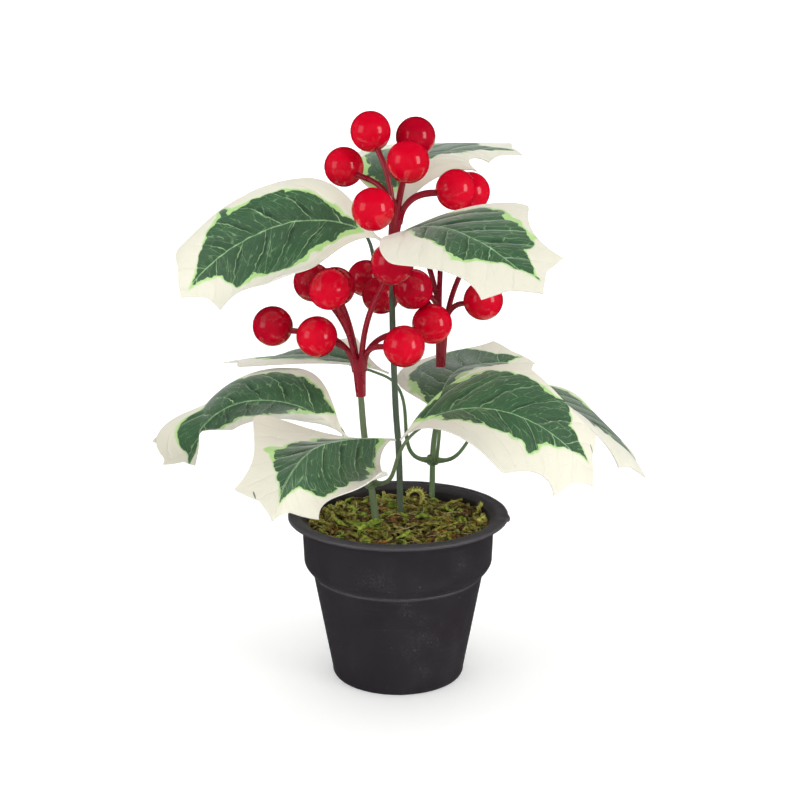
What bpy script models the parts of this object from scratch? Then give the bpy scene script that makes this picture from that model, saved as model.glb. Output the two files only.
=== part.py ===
"""A small artificial holly in a plastic nursery pot, as separate solids.

Units are metres, +Z is up, and the origin is the centre of the pot's flat foot.
The plant faces -Y. Sizes that are read off in millimetres are multiplied by MM.
"""
import math

import bmesh
import bpy
from mathutils import Matrix, Vector

MM = 0.001
GAP = 0.3 * MM                   # clearance between pieces that touch

# Pot
RIM_RADIUS = 45 * MM
RIM_HEIGHT = 68.6 * MM
LIP_INNER_RADIUS = 40.2 * MM
LIP_THICKNESS = 1.4 * MM
LIP_EDGE = 0.4 * MM              # how far the lip's outer edge is rounded
BAND_TOP_RADIUS = 39.3 * MM      # of the band under the lip, which narrows a little downwards
BAND_RADIUS = 38.6 * MM
BAND_HEIGHT = 49.2 * MM          # lower end of the band, where it rounds in to the shoulder
BAND_ROUND = 1.6                 # how late the band turns in
SHOULDER_RADIUS = 35.2 * MM
SHOULDER_HEIGHT = 44.2 * MM
FOOT_RADIUS = 27.3 * MM
FOOT_EDGE = 1.0 * MM
POT_WALL = 1.1 * MM
POT_FLOOR = 1.6 * MM
POT_STEPS = 48

# What fills the pot
FILLING_TOP = 53.0 * MM
MOSS_FLOOR = FILLING_TOP + GAP
MOSS_HEIGHT = 64.8 * MM
MOSS_LUMP = 1.1 * MM
MOSS_TILT = 0.03                 # how much the moss rises towards the front
MOSS_EDGE_DROP = 1.6 * MM        # how far it sinks against the pot's wall
MOSS_RINGS = 8
MOSS_STEPS = 30

# Leaf, cut flat and then bent
LEAF_LENGTH = 90 * MM
LEAF_THICKNESS = 0.9 * MM
LEAF_STEP = 1.5 * MM
SHOULDER = (48 * MM, 33 * MM)    # widest place, along and out from the midrib
LOBE = (80 * MM, 19 * MM)        # pointed lobe beside the tip
NOTCH = (82.5 * MM, 8.5 * MM)
SHOULDER_SWELL = 0.9             # below 1 the leaf widens sooner from its base
SCALLOP = 6.5 * MM               # depth of the hollow between shoulder and lobe
BASE_HALF_WIDTH = 0.6 * MM
CURL_REACH = 28 * MM             # distance from the midrib over which a curl is told
LEAST_CURL = 0.0002              # radians, so that a straight side can be worked out as an arc
FOLD_REACH = 8 * MM
SLOT_RADIUS = 2.7 * MM           # half the slot's width, and the round of its inner end
SLOT_DEPTH = 16 * MM

# Stems, arms and berries
STEM_HOLE_DEPTH = 34 * MM        # from the stem's foot up through filling and moss
COLLAR_HEIGHT = 4 * MM
COLLAR_WALL = 1.0 * MM
ARM_RADIUS = 0.95 * MM
ARM_TIP_SHARE = 0.5              # an arm's radius at its tip, as a share of ARM_RADIUS
ARM_SWAY = 0.45                  # how far an arm keeps its direction at each end, of its reach
BERRY_RADIUS = 8 * MM
BERRY_HOLD = 0.5                 # how deep a stalk runs into its berry, of the berry's radius
STALK_RADIUS = 1.0 * MM
STALK_ROOT = (2 * MM, 1.4 * MM)  # a stalk's start, below the fork and out from the sleeve's axis
STALK_RISE = 0.3                 # how far a stalk rises and spreads as it leaves, of its reach
STALK_SPREAD = 0.12
STALK_ARCH = 0.5                 # how steeply it comes down on its berry
SLEEVE_TOP_RADIUS = 2.9 * MM
SLEEVE_FOOT_RADIUS = 1.95 * MM
SLEEVE_BORE = 10 * MM
STEM_IN_SLEEVE = 9.4 * MM

# Each stem runs through its points, in millimetres; its radius falls from foot to tip
STEMS = {
    "left": {
        "route": [(-7, -10, 40), (-8.5, -10, 64), (-11, -10, 85), (-13.4, -10, 104), (-14.6, -9, 119)],
        "radii": (1.6, 1.2), "collar": 84,
    },
    "centre": {
        "route": [(1, 4, 40), (1, 5, 64), (0.3, 7, 92), (-1, 8, 111), (-2.2, 7, 145), (-2.3, 3, 176)],
        "radii": (1.35, 1.2), "collar": 167,
    },
    "right": {
        "route": [(13.5, 27, 40), (14.6, 30, 66), (15, 31, 86), (16.3, 32, 98), (18, 33, 121)],
        "radii": (1.3, 1.1), "collar": 82,
    },
}

# Each leaf starts at base and heads for azimuth, turning by swing on its way. It rises by lift,
# droops by near and far over its two halves, and may fold down once more at fold_at.
# roll tips it about its midrib, twist adds to that towards the tip, and each side leaves the
# midrib at its own angle and bends down by its own curl. Angles are in degrees.
LEAVES = {
    "top_left": {
        "stem": "centre", "base": (-6, -8, 180), "azimuth": 192, "swing": -22, "lift": 35,
        "near": 56, "far": 33, "roll": -62, "twist": -15, "left": (-15, -80), "left_tip": (-15, -90),
        "right": (22, 95), "right_tip": (18, 120), "rib": (12, 30),
    },
    "top_right": {
        "stem": "centre", "base": (-4, -5, 179), "azimuth": -58, "swing": 15, "lift": 30,
        "near": 40, "far": 28, "roll": 15, "twist": 5, "left": (5, 10), "left_tip": (-5, 0),
        "right": (5, -20), "right_tip": (-10, 0), "rib": (12, 30),
    },
    "top_back": {
        "stem": "centre", "base": (1, 15, 184), "azimuth": 115, "swing": -150, "lift": 65,
        "near": 55, "far": 20, "roll": -5, "twist": 10, "left": (5, 0), "right": (15, 30),
        "right_tip": (0, 30), "rib": (8, 26),
    },
    "low_front": {
        "stem": "left", "base": (-1, -9, 101.5), "azimuth": 230, "swing": 20, "lift": 15,
        "near": 10, "far": 60, "roll": -20, "twist": -10, "left": (-50, -110),
        "left_tip": (-70, -125), "right": (-36, -50), "right_tip": (-50, -55), "rib": (20, 36),
    },
    "low_left": {
        "stem": "left", "base": (-20, -14, 103.5), "azimuth": 155, "swing": 15, "lift": 40,
        "near": 50, "far": 70, "roll": -20, "twist": -15, "left": (-115, 20), "right": (35, 75),
        "right_tip": (-5, 25), "fold": 50, "turn": 130, "fold_at": 70, "rib": (8, 26),
    },
    "low_right": {
        "stem": "left", "base": (1, -31, 107), "azimuth": -20, "swing": 30, "lift": 50,
        "near": 65, "far": 52, "roll": 15, "twist": 30, "left": (20, 50), "left_tip": (-5, 0),
        "right": (5, -55), "right_tip": (-10, 25), "rib": (9, 30),
    },
    "mid_right": {
        "stem": "right", "base": (16, -9, 109), "azimuth": 88, "swing": -60, "lift": 40,
        "near": 43, "far": 5, "roll": -30, "twist": 65, "left": (0, 20), "right": (10, 20),
        "rib": (6, 26), "slot": (42, 10.5),
    },
    "far_right": {
        "stem": "right", "base": (30, 24.5, 95.5), "azimuth": 0, "swing": -30, "lift": 58,
        "near": 80, "far": 30, "roll": -10, "twist": -5, "left": (20, -10), "left_tip": (-5, 0),
        "right": (30, 0), "right_tip": (-10, 20), "rib": (6, 30),
    },
    "mid_left": {
        "stem": "right", "base": (-4, 26, 121), "azimuth": 166, "swing": -58, "lift": 20,
        "near": 30, "far": 10, "roll": 10, "twist": 0, "left": (-3, 13), "right": (27, 20),
        "rib": (2, 50),
    },
}

# Each sprig's sleeve runs from the end of its stem's route to its fork, where one stalk leaves
# for each berry, in millimetres
SPRIGS = {
    "left": {
        "fork": (-15.4, -8.6, 134),
        "berries": [(-49.6, 0, 145.5), (-31.4, -12, 143.4), (-26, -19.4, 163), (-35, 22, 160),
                    (-25, 9, 160), (2.3, -23, 141.6), (13.5, 0, 146.4), (-2, -36, 174.7)],
    },
    "centre": {
        "fork": (-0.5, 1.5, 191),
        "berries": [(-10.7, 9.5, 220.8), (7, 18, 218.6), (3.8, -22, 210.5), (-21.6, 19, 206.8),
                    (-9, -30.5, 193.8), (22.5, 3, 198.8), (28.8, 16.5, 197)],
    },
    "right": {
        "fork": (18.5, 32, 143),
        "berries": [(34.3, 10, 154.3), (29.5, 24, 171), (17.5, 33, 176), (10.5, 45, 172),
                    (5.9, -1.8, 160.5), (-7.2, 34, 153), (-14, 50, 158)],
    },
}

COLOURS = {
    "pot": ((0.025, 0.022, 0.023), 0.42),
    "filling": ((0.30, 0.28, 0.25), 0.95),
    "moss": ((0.16, 0.15, 0.035), 0.95),
    "stem": ((0.045, 0.10, 0.045), 0.45),
    "leaf": ((0.05, 0.14, 0.07), 0.55),
    "berry": ((0.60, 0.0, 0.012), 0.12),
}


def clear_scene():
    for item in list(bpy.data.objects):
        bpy.data.objects.remove(item, do_unlink=True)


def new_collection(name):
    collection = bpy.data.collections.new(name)
    bpy.context.scene.collection.children.link(collection)
    return collection


def material_for(name, kind):
    """A Principled material of the piece's own."""
    colour, roughness = COLOURS[kind]
    material = bpy.data.materials.new(name)
    material.use_nodes = True
    shader = material.node_tree.nodes["Principled BSDF"]
    shader.inputs["Base Color"].default_value = (*colour, 1.0)
    shader.inputs["Roughness"].default_value = roughness
    shader.inputs["Metallic"].default_value = 0.0
    return material


def add_piece(name, mesh, collection, kind, angle=40):
    """Put a mesh in the collection as the named object, smooth with sharp edges kept."""
    piece = bpy.data.objects.new(name, mesh)
    collection.objects.link(piece)
    mesh.materials.append(material_for(name, kind))
    mesh.shade_smooth()
    mesh.set_sharp_from_angle(angle=math.radians(angle))
    return piece


def add_cutter(name, mesh, collection):
    cutter = bpy.data.objects.new(name, mesh)
    cutter.hide_render = True
    cutter.display_type = "WIRE"
    collection.objects.link(cutter)
    return cutter


def millimetres(point):
    return Vector(point) * MM


def smooth_route(points, per_span):
    """Points along a smooth curve through the given ones."""
    ends = [points[0] * 2 - points[1], *points, points[-1] * 2 - points[-2]]
    route = []
    for before, start, end, after in zip(ends, ends[1:], ends[2:], ends[3:]):
        for step in range(per_span):
            t = step / per_span
            slope_in = (end - before) / 2
            slope_out = (after - start) / 2
            route.append(
                start * (2 * t**3 - 3 * t**2 + 1)
                + slope_in * (t**3 - 2 * t**2 + t)
                + end * (3 * t**2 - 2 * t**3)
                + slope_out * (t**3 - t**2)
            )
    route.append(points[-1].copy())
    return route


def bezier_route(start, handle_a, handle_b, end, count):
    route = []
    for step in range(count + 1):
        t = step / count
        route.append(
            start * (1 - t) ** 3
            + handle_a * 3 * t * (1 - t) ** 2
            + handle_b * 3 * t * t * (1 - t)
            + end * t**3
        )
    return route


def tube_mesh(name, route, radii, sides_level):
    """A closed tube along the route, made by a bevelled curve and welded into a mesh."""
    curve = bpy.data.curves.new(name, "CURVE")
    curve.dimensions = "3D"
    curve.bevel_depth = 1.0
    curve.bevel_resolution = sides_level
    curve.use_fill_caps = True
    spline = curve.splines.new("POLY")
    spline.points.add(len(route) - 1)
    for point, place, radius in zip(spline.points, route, radii):
        point.co = (*place, 1.0)
        point.radius = radius
    holder = bpy.data.objects.new(name, curve)
    bpy.context.scene.collection.objects.link(holder)
    depsgraph = bpy.context.evaluated_depsgraph_get()
    mesh = bpy.data.meshes.new_from_object(holder.evaluated_get(depsgraph))
    bpy.data.objects.remove(holder, do_unlink=True)
    bpy.data.curves.remove(curve)
    form = bmesh.new()
    form.from_mesh(mesh)
    bmesh.ops.remove_doubles(form, verts=form.verts, dist=0.00001)
    bmesh.ops.recalc_face_normals(form, faces=form.faces)
    form.to_mesh(mesh)
    form.free()
    mesh.name = name
    return mesh


def turned_piece(name, profile, steps, collection, kind, closed=False):
    """Turn a profile of (radius, height) points about Z with a Screw modifier."""
    mesh = bpy.data.meshes.new(name)
    last = len(profile)
    edges = [(index, index + 1) for index in range(last - 1)]
    if closed:
        edges.append((last - 1, 0))
    mesh.from_pydata([(radius, 0.0, height) for radius, height in profile], edges, [])
    piece = bpy.data.objects.new(name, mesh)
    collection.objects.link(piece)
    mesh.materials.append(material_for(name, kind))
    screw = piece.modifiers.new("Turn", "SCREW")
    screw.axis = "Z"
    screw.steps = steps
    screw.render_steps = steps
    screw.use_merge_vertices = True
    screw.merge_threshold = 0.00001
    screw.use_smooth_shade = True
    return piece


def point_on(route, height):
    """The route's point at a height, and its direction there."""
    for lower, upper in zip(route, route[1:]):
        if lower.z <= height <= upper.z:
            share = (height - lower.z) / (upper.z - lower.z)
            return lower.lerp(upper, share), (upper - lower).normalized()
    return route[-1].copy(), (route[-1] - route[-2]).normalized()


def along_axis(place, direction):
    """The matrix that stands +Z along a direction at a place."""
    matrix = direction.to_track_quat("Z", "Y").to_matrix().to_4x4()
    matrix.translation = place
    return matrix


def cylinder_mesh(name, radius, depth, segments, foot_radius=None):
    mesh = bpy.data.meshes.new(name)
    form = bmesh.new()
    bmesh.ops.create_cone(
        form, cap_ends=True, segments=segments, radius1=foot_radius or radius, radius2=radius, depth=depth
    )
    form.to_mesh(mesh)
    form.free()
    return mesh


def cut(piece, cutter):
    difference = piece.modifiers.new(cutter.name, "BOOLEAN")
    difference.operation = "DIFFERENCE"
    difference.solver = "EXACT"
    difference.object = cutter


# Pot and what fills it

def inner_radius(height):
    """The pot wall's inner radius at a height, below the lip."""
    if height <= SHOULDER_HEIGHT:
        share = height / SHOULDER_HEIGHT
        return FOOT_RADIUS + (SHOULDER_RADIUS - FOOT_RADIUS) * share - POT_WALL
    share = min((height - SHOULDER_HEIGHT) / (BAND_HEIGHT - SHOULDER_HEIGHT), 1.0)
    return SHOULDER_RADIUS + (BAND_RADIUS - SHOULDER_RADIUS) * share - POT_WALL


def make_pot(collection):
    lip_under = RIM_HEIGHT - LIP_THICKNESS
    outer = [
        (LIP_INNER_RADIUS, RIM_HEIGHT),
        (RIM_RADIUS - LIP_EDGE, RIM_HEIGHT),
        (RIM_RADIUS, RIM_HEIGHT - LIP_EDGE),
        (RIM_RADIUS - 0.2 * MM, lip_under),
        (BAND_TOP_RADIUS + 0.5 * MM, lip_under - LIP_EDGE),
        (BAND_TOP_RADIUS, lip_under - 1.2 * MM),
    ]
    for step in range(6):
        share = step / 5
        radius = BAND_RADIUS + (SHOULDER_RADIUS - BAND_RADIUS) * share**BAND_ROUND
        outer.append((radius, BAND_HEIGHT + (SHOULDER_HEIGHT - BAND_HEIGHT) * share))
    outer += [
        (FOOT_RADIUS, FOOT_EDGE),
        (FOOT_RADIUS - FOOT_EDGE, 0.0),
        (0.0, 0.0),
    ]
    inner = [
        (0.0, POT_FLOOR),
        (inner_radius(POT_FLOOR), POT_FLOOR),
        (inner_radius(SHOULDER_HEIGHT), SHOULDER_HEIGHT),
        (inner_radius(BAND_HEIGHT), BAND_HEIGHT),
        (inner_radius(BAND_HEIGHT), lip_under - 0.2 * MM),
    ]
    return turned_piece("pot", inner + outer, POT_STEPS, collection, "pot")


def make_filling(collection):
    floor = POT_FLOOR + GAP
    profile = [
        (0.0, FILLING_TOP),
        (inner_radius(FILLING_TOP) - GAP, FILLING_TOP),
        (inner_radius(BAND_HEIGHT) - GAP, BAND_HEIGHT),
        (inner_radius(SHOULDER_HEIGHT) - GAP, SHOULDER_HEIGHT + GAP),
        (inner_radius(floor) - GAP, floor),
        (0.0, floor),
    ]
    return turned_piece("filling", profile, POT_STEPS, collection, "filling")


def moss_top(x, y):
    """Height of the moss: lumps, a little higher in front and lower against the wall."""
    across = x / MM
    back = y / MM
    lumps = math.sin(0.33 * across + 1.1) * math.cos(0.29 * back + 0.5)
    lumps += 0.7 * math.sin(0.62 * across - 0.41 * back + 2.0)
    wall = (math.hypot(x, y) / inner_radius(BAND_HEIGHT)) ** 4
    return MOSS_HEIGHT + MOSS_LUMP * lumps - MOSS_TILT * y - MOSS_EDGE_DROP * wall


def make_moss(collection):
    """A closed cushion of moss on the filling, up against the pot's wall."""
    form = bmesh.new()
    outer = inner_radius(BAND_HEIGHT) - GAP
    floor = MOSS_FLOOR
    centre_top = form.verts.new((0.0, 0.0, moss_top(0.0, 0.0)))
    centre_floor = form.verts.new((0.0, 0.0, floor))
    rings = []
    for ring in range(1, MOSS_RINGS + 1):
        radius = outer * ring / MOSS_RINGS
        angles = [2 * math.pi * step / MOSS_STEPS for step in range(MOSS_STEPS)]
        spots = [(radius * math.cos(angle), radius * math.sin(angle)) for angle in angles]
        rings.append([form.verts.new((x, y, moss_top(x, y))) for x, y in spots])
    rings.append([form.verts.new((vert.co.x, vert.co.y, floor)) for vert in rings[-1]])
    for index in range(MOSS_STEPS):
        after = (index + 1) % MOSS_STEPS
        form.faces.new((centre_top, rings[0][index], rings[0][after]))
        form.faces.new((centre_floor, rings[-1][after], rings[-1][index]))
        for inside, outside in zip(rings, rings[1:]):
            form.faces.new((inside[index], outside[index], outside[after], inside[after]))
    mesh = bpy.data.meshes.new("moss")
    form.to_mesh(mesh)
    form.free()
    return add_piece("moss", mesh, collection, "moss")


# Stems and collars

def sleeve_axis(name):
    """The foot of the sleeve on the stem's end, and the direction to its fork."""
    foot = millimetres(STEMS[name]["route"][-1])
    return foot, (millimetres(SPRIGS[name]["fork"]) - foot).normalized()


def stem_route(name):
    """The stem's points from its foot, ending with the straight tip inside its sleeve."""
    foot, axis = sleeve_axis(name)
    route = smooth_route([millimetres(point) for point in STEMS[name]["route"]], 3)
    return [*route, foot + axis * STEM_IN_SLEEVE]


def stem_radius(name, height):
    """The stem's radius at a height, falling evenly from its foot to its sleeve."""
    route = STEMS[name]["route"]
    foot, tip = (radius * MM for radius in STEMS[name]["radii"])
    share = (height - route[0][2] * MM) / ((route[-1][2] - route[0][2]) * MM)
    return foot + (tip - foot) * min(max(share, 0.0), 1.0)


def make_stem(name, collection):
    route = stem_route(name)
    radii = [stem_radius(name, point.z) for point in route]
    mesh = tube_mesh("stem_" + name, route, radii, 2)
    return add_piece("stem_" + name, mesh, collection, "stem", 60)


def make_stem_hole(name, cutters):
    """A straight hole along the stem's foot, wide enough for its lean."""
    foot, low = (millimetres(point) for point in STEMS[name]["route"][:2])
    direction = (low - foot).normalized()
    radius = stem_radius(name, foot.z) + 2 * GAP
    mesh = cylinder_mesh("hole_" + name, radius, STEM_HOLE_DEPTH, 12)
    middle = foot + direction * (STEM_HOLE_DEPTH / 2 - 2 * GAP)
    mesh.transform(along_axis(middle, direction))
    return add_cutter("hole_" + name, mesh, cutters)


def collar_place(name):
    height = STEMS[name]["collar"] * MM
    return (*point_on(stem_route(name), height), stem_radius(name, height))


def make_collar(name, collection):
    place, direction, radius = collar_place(name)
    bore = radius + GAP
    half = COLLAR_HEIGHT / 2
    profile = [
        (bore, half),
        (bore + COLLAR_WALL, half),
        (bore + COLLAR_WALL, -half),
        (bore, -half),
    ]
    collar = turned_piece("collar_" + name, profile, 16, collection, "stem", closed=True)
    collar.matrix_world = along_axis(place, direction)
    return collar


# Leaves

def half_width(along):
    """Half the flat leaf's width at a distance from its base."""
    if along <= SHOULDER[0]:
        share = (along / SHOULDER[0]) ** SHOULDER_SWELL
        return max(SHOULDER[1] * (3 * share**2 - 2 * share**3), BASE_HALF_WIDTH)
    if along <= LOBE[0]:
        share = (along - SHOULDER[0]) / (LOBE[0] - SHOULDER[0])
        straight = SHOULDER[1] + (LOBE[1] - SHOULDER[1]) * share
        return straight - 4 * SCALLOP * share * (1 - share)
    if along <= NOTCH[0]:
        share = (along - LOBE[0]) / (NOTCH[0] - LOBE[0])
        return LOBE[1] + (NOTCH[1] - LOBE[1]) * share
    share = (LEAF_LENGTH - along) / (LEAF_LENGTH - NOTCH[0])
    return max(NOTCH[1] * share, BASE_HALF_WIDTH)


def leaf_stations():
    """Distances from the base at which the leaf is ribbed."""
    stations = [SHOULDER[0] * step / 8 for step in range(8)]
    stations += [SHOULDER[0] + (LOBE[0] - SHOULDER[0]) * step / 8 for step in range(9)]
    return [*stations, NOTCH[0], (NOTCH[0] + LEAF_LENGTH) / 2, LEAF_LENGTH]


def leaf_spine(leaf):
    """Midrib places with their forward, left and up directions, one each LEAF_STEP."""
    steps = round(LEAF_LENGTH / LEAF_STEP)
    place = millimetres(leaf["base"])
    before = None
    spine = []
    for step in range(steps + 1):
        share = step / steps
        folded = min(max((share * LEAF_LENGTH - leaf.get("fold_at", 0) * MM) / FOLD_REACH, 0.0), 1.0)
        droop = leaf["near"] * min(share, 0.5) * 2 + leaf["far"] * max(share - 0.5, 0.0) * 2
        pitch = math.radians(leaf["lift"] - droop - leaf.get("fold", 0) * folded)
        heading = math.radians(
            leaf["azimuth"] + leaf["swing"] * share + leaf.get("turn", 0) * folded
        )
        roll = math.radians(leaf["roll"] + leaf["twist"] * share)
        level = Vector((math.cos(heading), math.sin(heading), 0.0))
        forward = level * math.cos(pitch) + Vector((0.0, 0.0, math.sin(pitch)))
        side = Vector((-math.sin(heading), math.cos(heading), 0.0))
        crown = forward.cross(side)
        left = side * math.cos(roll) + crown * math.sin(roll)
        up = crown * math.cos(roll) - side * math.sin(roll)
        if before is not None:
            place = place + (before + forward) / 2 * LEAF_STEP
        before = forward
        spine.append((place, forward, left, up))
    return spine


def spine_at(spine, along):
    index = min(int(along / LEAF_STEP), len(spine) - 2)
    share = along / LEAF_STEP - index
    return [a.lerp(b, share) for a, b in zip(spine[index], spine[index + 1])]


def side_bend(leaf, side, along):
    """The angle at which a side leaves the midrib there and its curl, both in radians."""
    share = along / LEAF_LENGTH
    ends = zip(leaf[side], leaf.get(side + "_tip", leaf[side]))
    return [math.radians(base + (tip - base) * share) for base, tip in ends]


def leaf_point(leaf, spine, along, across):
    """A point of the bent leaf; across is positive on the left."""
    place, _, left, up = spine_at(spine, along)
    start, curl = side_bend(leaf, "left" if across >= 0 else "right", along)
    rate = (curl if abs(curl) > LEAST_CURL else LEAST_CURL) / CURL_REACH
    end = start - rate * abs(across)
    out = (math.sin(start) - math.sin(end)) / rate
    rise = (math.cos(end) - math.cos(start)) / rate
    return place + left * math.copysign(out, across) + up * rise


def make_leaf(name, collection):
    leaf = LEAVES[name]
    spine = leaf_spine(leaf)
    shares = [-1.0, -0.66, -0.33, 0.0, 0.33, 0.66, 1.0]
    form = bmesh.new()
    rows = []
    for along in leaf_stations():
        width = half_width(along)
        rows.append([form.verts.new(leaf_point(leaf, spine, along, width * share)) for share in shares])
    for row, after in zip(rows, rows[1:]):
        for index in range(len(shares) - 1):
            form.faces.new((row[index], after[index], after[index + 1], row[index + 1]))
    mesh = bpy.data.meshes.new("leaf_" + name)
    form.to_mesh(mesh)
    form.free()
    piece = add_piece("leaf_" + name, mesh, collection, "leaf")
    solid = piece.modifiers.new("Thickness", "SOLIDIFY")
    solid.thickness = LEAF_THICKNESS
    solid.offset = 0.0
    return piece


def make_slot(name, cutters):
    """A slot from the leaf's left edge in to the stem that it is slipped over."""
    leaf = LEAVES[name]
    along, across = (distance * MM for distance in leaf["slot"])
    spine = leaf_spine(leaf)
    _, _, left, up = spine_at(spine, along)
    slot = cylinder_mesh("slot_" + name, SLOT_RADIUS, SLOT_DEPTH, 16)
    for vertex in slot.vertices:
        if vertex.co.x > GAP:
            vertex.co.x += SHOULDER[1]
    matrix = Matrix((left, up.cross(left), up)).transposed().to_4x4()
    matrix.translation = leaf_point(leaf, spine, along, across)
    slot.transform(matrix)
    return add_cutter("slot_" + name, slot, cutters)


def rib_point(leaf, spine, along):
    """A point midway between the leaf's two halves below its midrib, clear of both."""
    spot, forward, left, up = spine_at(spine, along)
    angles = [side_bend(leaf, side, along)[0] for side in ("left", "right")]
    lean = (angles[0] - angles[1]) / 2
    half_opening = (math.pi + min(sum(angles), 0.0)) / 2
    clear = (ARM_RADIUS + LEAF_THICKNESS / 2 + GAP) / math.sin(half_opening)
    return spot + (left * math.sin(lean) - up * math.cos(lean)) * clear, forward


def make_arm(name, collection):
    """The arm from its collar out and up to the leaf, then on along the midrib's underside."""
    leaf = LEAVES[name]
    spine = leaf_spine(leaf)
    place, direction, radius = collar_place(leaf["stem"])
    rib_start, rib_end = (distance * MM for distance in leaf["rib"])
    rib = [rib_point(leaf, spine, rib_start + (rib_end - rib_start) * step / 4) for step in range(5)]
    outward = rib[0][0] - place
    outward -= direction * outward.dot(direction)
    outward.normalize()
    start = place + outward * (radius + COLLAR_WALL + 2 * GAP)
    reach = (rib[0][0] - start).length
    route = bezier_route(
        start, start + outward * reach * ARM_SWAY, rib[0][0] - rib[0][1] * reach * ARM_SWAY, rib[0][0], 9
    )
    route += [spot for spot, _ in rib[1:]]
    last = len(route) - 1
    radii = [ARM_RADIUS * (1 - (1 - ARM_TIP_SHARE) * index / last) for index in range(last + 1)]
    mesh = tube_mesh("arm_" + name, route, radii, 2)
    return add_piece("arm_" + name, mesh, collection, "stem", 60)


# Berries

def make_sprig(name, collection, cutters):
    """A sleeve that slips over the stem's tip, with its stalks and berries fused on."""
    sprig = SPRIGS[name]
    foot, axis = sleeve_axis(name)
    fork = millimetres(sprig["fork"])
    length = (fork - foot).length
    sleeve = cylinder_mesh("berries_" + name, SLEEVE_TOP_RADIUS, length, 12, SLEEVE_FOOT_RADIUS)
    sleeve.transform(along_axis((foot + fork) / 2, axis))
    piece = add_piece("berries_" + name, sleeve, collection, "berry")

    fused = new_collection("fused_" + name)
    for index, berry in enumerate(sprig["berries"]):
        centre = millimetres(berry)
        way = centre - fork
        outward = (way - axis * way.dot(axis)).normalized()
        start = fork - axis * STALK_ROOT[0] + outward * STALK_ROOT[1]
        reach = way.length
        handle = fork + axis * reach * STALK_RISE + outward * reach * STALK_SPREAD
        entry = centre - (way.normalized() + axis * STALK_ARCH).normalized() * reach * STALK_RISE
        stop = centre - (centre - entry).normalized() * BERRY_RADIUS * BERRY_HOLD
        route = bezier_route(start, handle, entry, stop, 5)
        stalk = tube_mesh(f"stalk_{name}_{index}", route, [STALK_RADIUS] * len(route), 1)
        fused.objects.link(bpy.data.objects.new(stalk.name, stalk))
        ball = bpy.data.meshes.new(f"ball_{name}_{index}")
        form = bmesh.new()
        bmesh.ops.create_uvsphere(form, u_segments=12, v_segments=8, radius=BERRY_RADIUS)
        form.to_mesh(ball)
        form.free()
        ball.transform(along_axis(centre, (centre - entry).normalized()))
        fused.objects.link(bpy.data.objects.new(ball.name, ball))
    union = piece.modifiers.new("Fuse", "BOOLEAN")
    union.operation = "UNION"
    union.solver = "EXACT"
    union.operand_type = "COLLECTION"
    union.collection = fused
    depsgraph = bpy.context.evaluated_depsgraph_get()
    joined = bpy.data.meshes.new_from_object(piece.evaluated_get(depsgraph))
    piece.modifiers.clear()
    piece.data = joined
    for item in list(fused.objects):
        bpy.data.objects.remove(item, do_unlink=True)
    bpy.data.collections.remove(fused)

    bore_radius = stem_radius(name, foot.z) + 2 * GAP
    bore = cylinder_mesh("bore_" + name, bore_radius, 2 * SLEEVE_BORE, 10)
    bore.transform(along_axis(foot, axis))
    cut(piece, add_cutter("bore_" + name, bore, cutters))
    return piece


def build():
    clear_scene()
    holly = new_collection("potted_holly")
    cutters = new_collection("cutters")
    make_pot(holly)
    filling = make_filling(holly)
    moss = make_moss(holly)
    for name in STEMS:
        make_stem(name, holly)
        make_collar(name, holly)
        hole = make_stem_hole(name, cutters)
        cut(filling, hole)
        cut(moss, hole)
    for name in LEAVES:
        leaf = make_leaf(name, holly)
        make_arm(name, holly)
        if "slot" in LEAVES[name]:
            cut(leaf, make_slot(name, cutters))
    for name in SPRIGS:
        make_sprig(name, holly, cutters)


build()
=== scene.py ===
import math
import random

import bmesh
import bpy
from mathutils import Matrix, Vector, noise


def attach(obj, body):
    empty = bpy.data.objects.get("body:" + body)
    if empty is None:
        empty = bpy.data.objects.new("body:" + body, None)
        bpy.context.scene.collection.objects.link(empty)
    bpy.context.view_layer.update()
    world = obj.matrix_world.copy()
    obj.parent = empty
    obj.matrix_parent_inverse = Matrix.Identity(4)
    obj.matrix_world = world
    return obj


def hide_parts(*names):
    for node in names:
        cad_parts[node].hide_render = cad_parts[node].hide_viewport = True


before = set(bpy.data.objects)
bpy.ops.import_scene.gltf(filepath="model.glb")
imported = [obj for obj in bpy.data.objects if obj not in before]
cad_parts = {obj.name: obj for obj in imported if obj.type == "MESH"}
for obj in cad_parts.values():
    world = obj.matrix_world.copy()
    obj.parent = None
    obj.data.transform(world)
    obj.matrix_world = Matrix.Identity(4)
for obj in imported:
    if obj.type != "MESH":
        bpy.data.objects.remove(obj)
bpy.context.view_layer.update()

mm = 0.001
print("frame loaded")


# shader maths

def operator(name, reflected=False):
    # a method that writes one operator between two values as a Math node
    def apply(self, other):
        return self.maths(name, other, self) if reflected else self.maths(name, self, other)

    return apply


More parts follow.
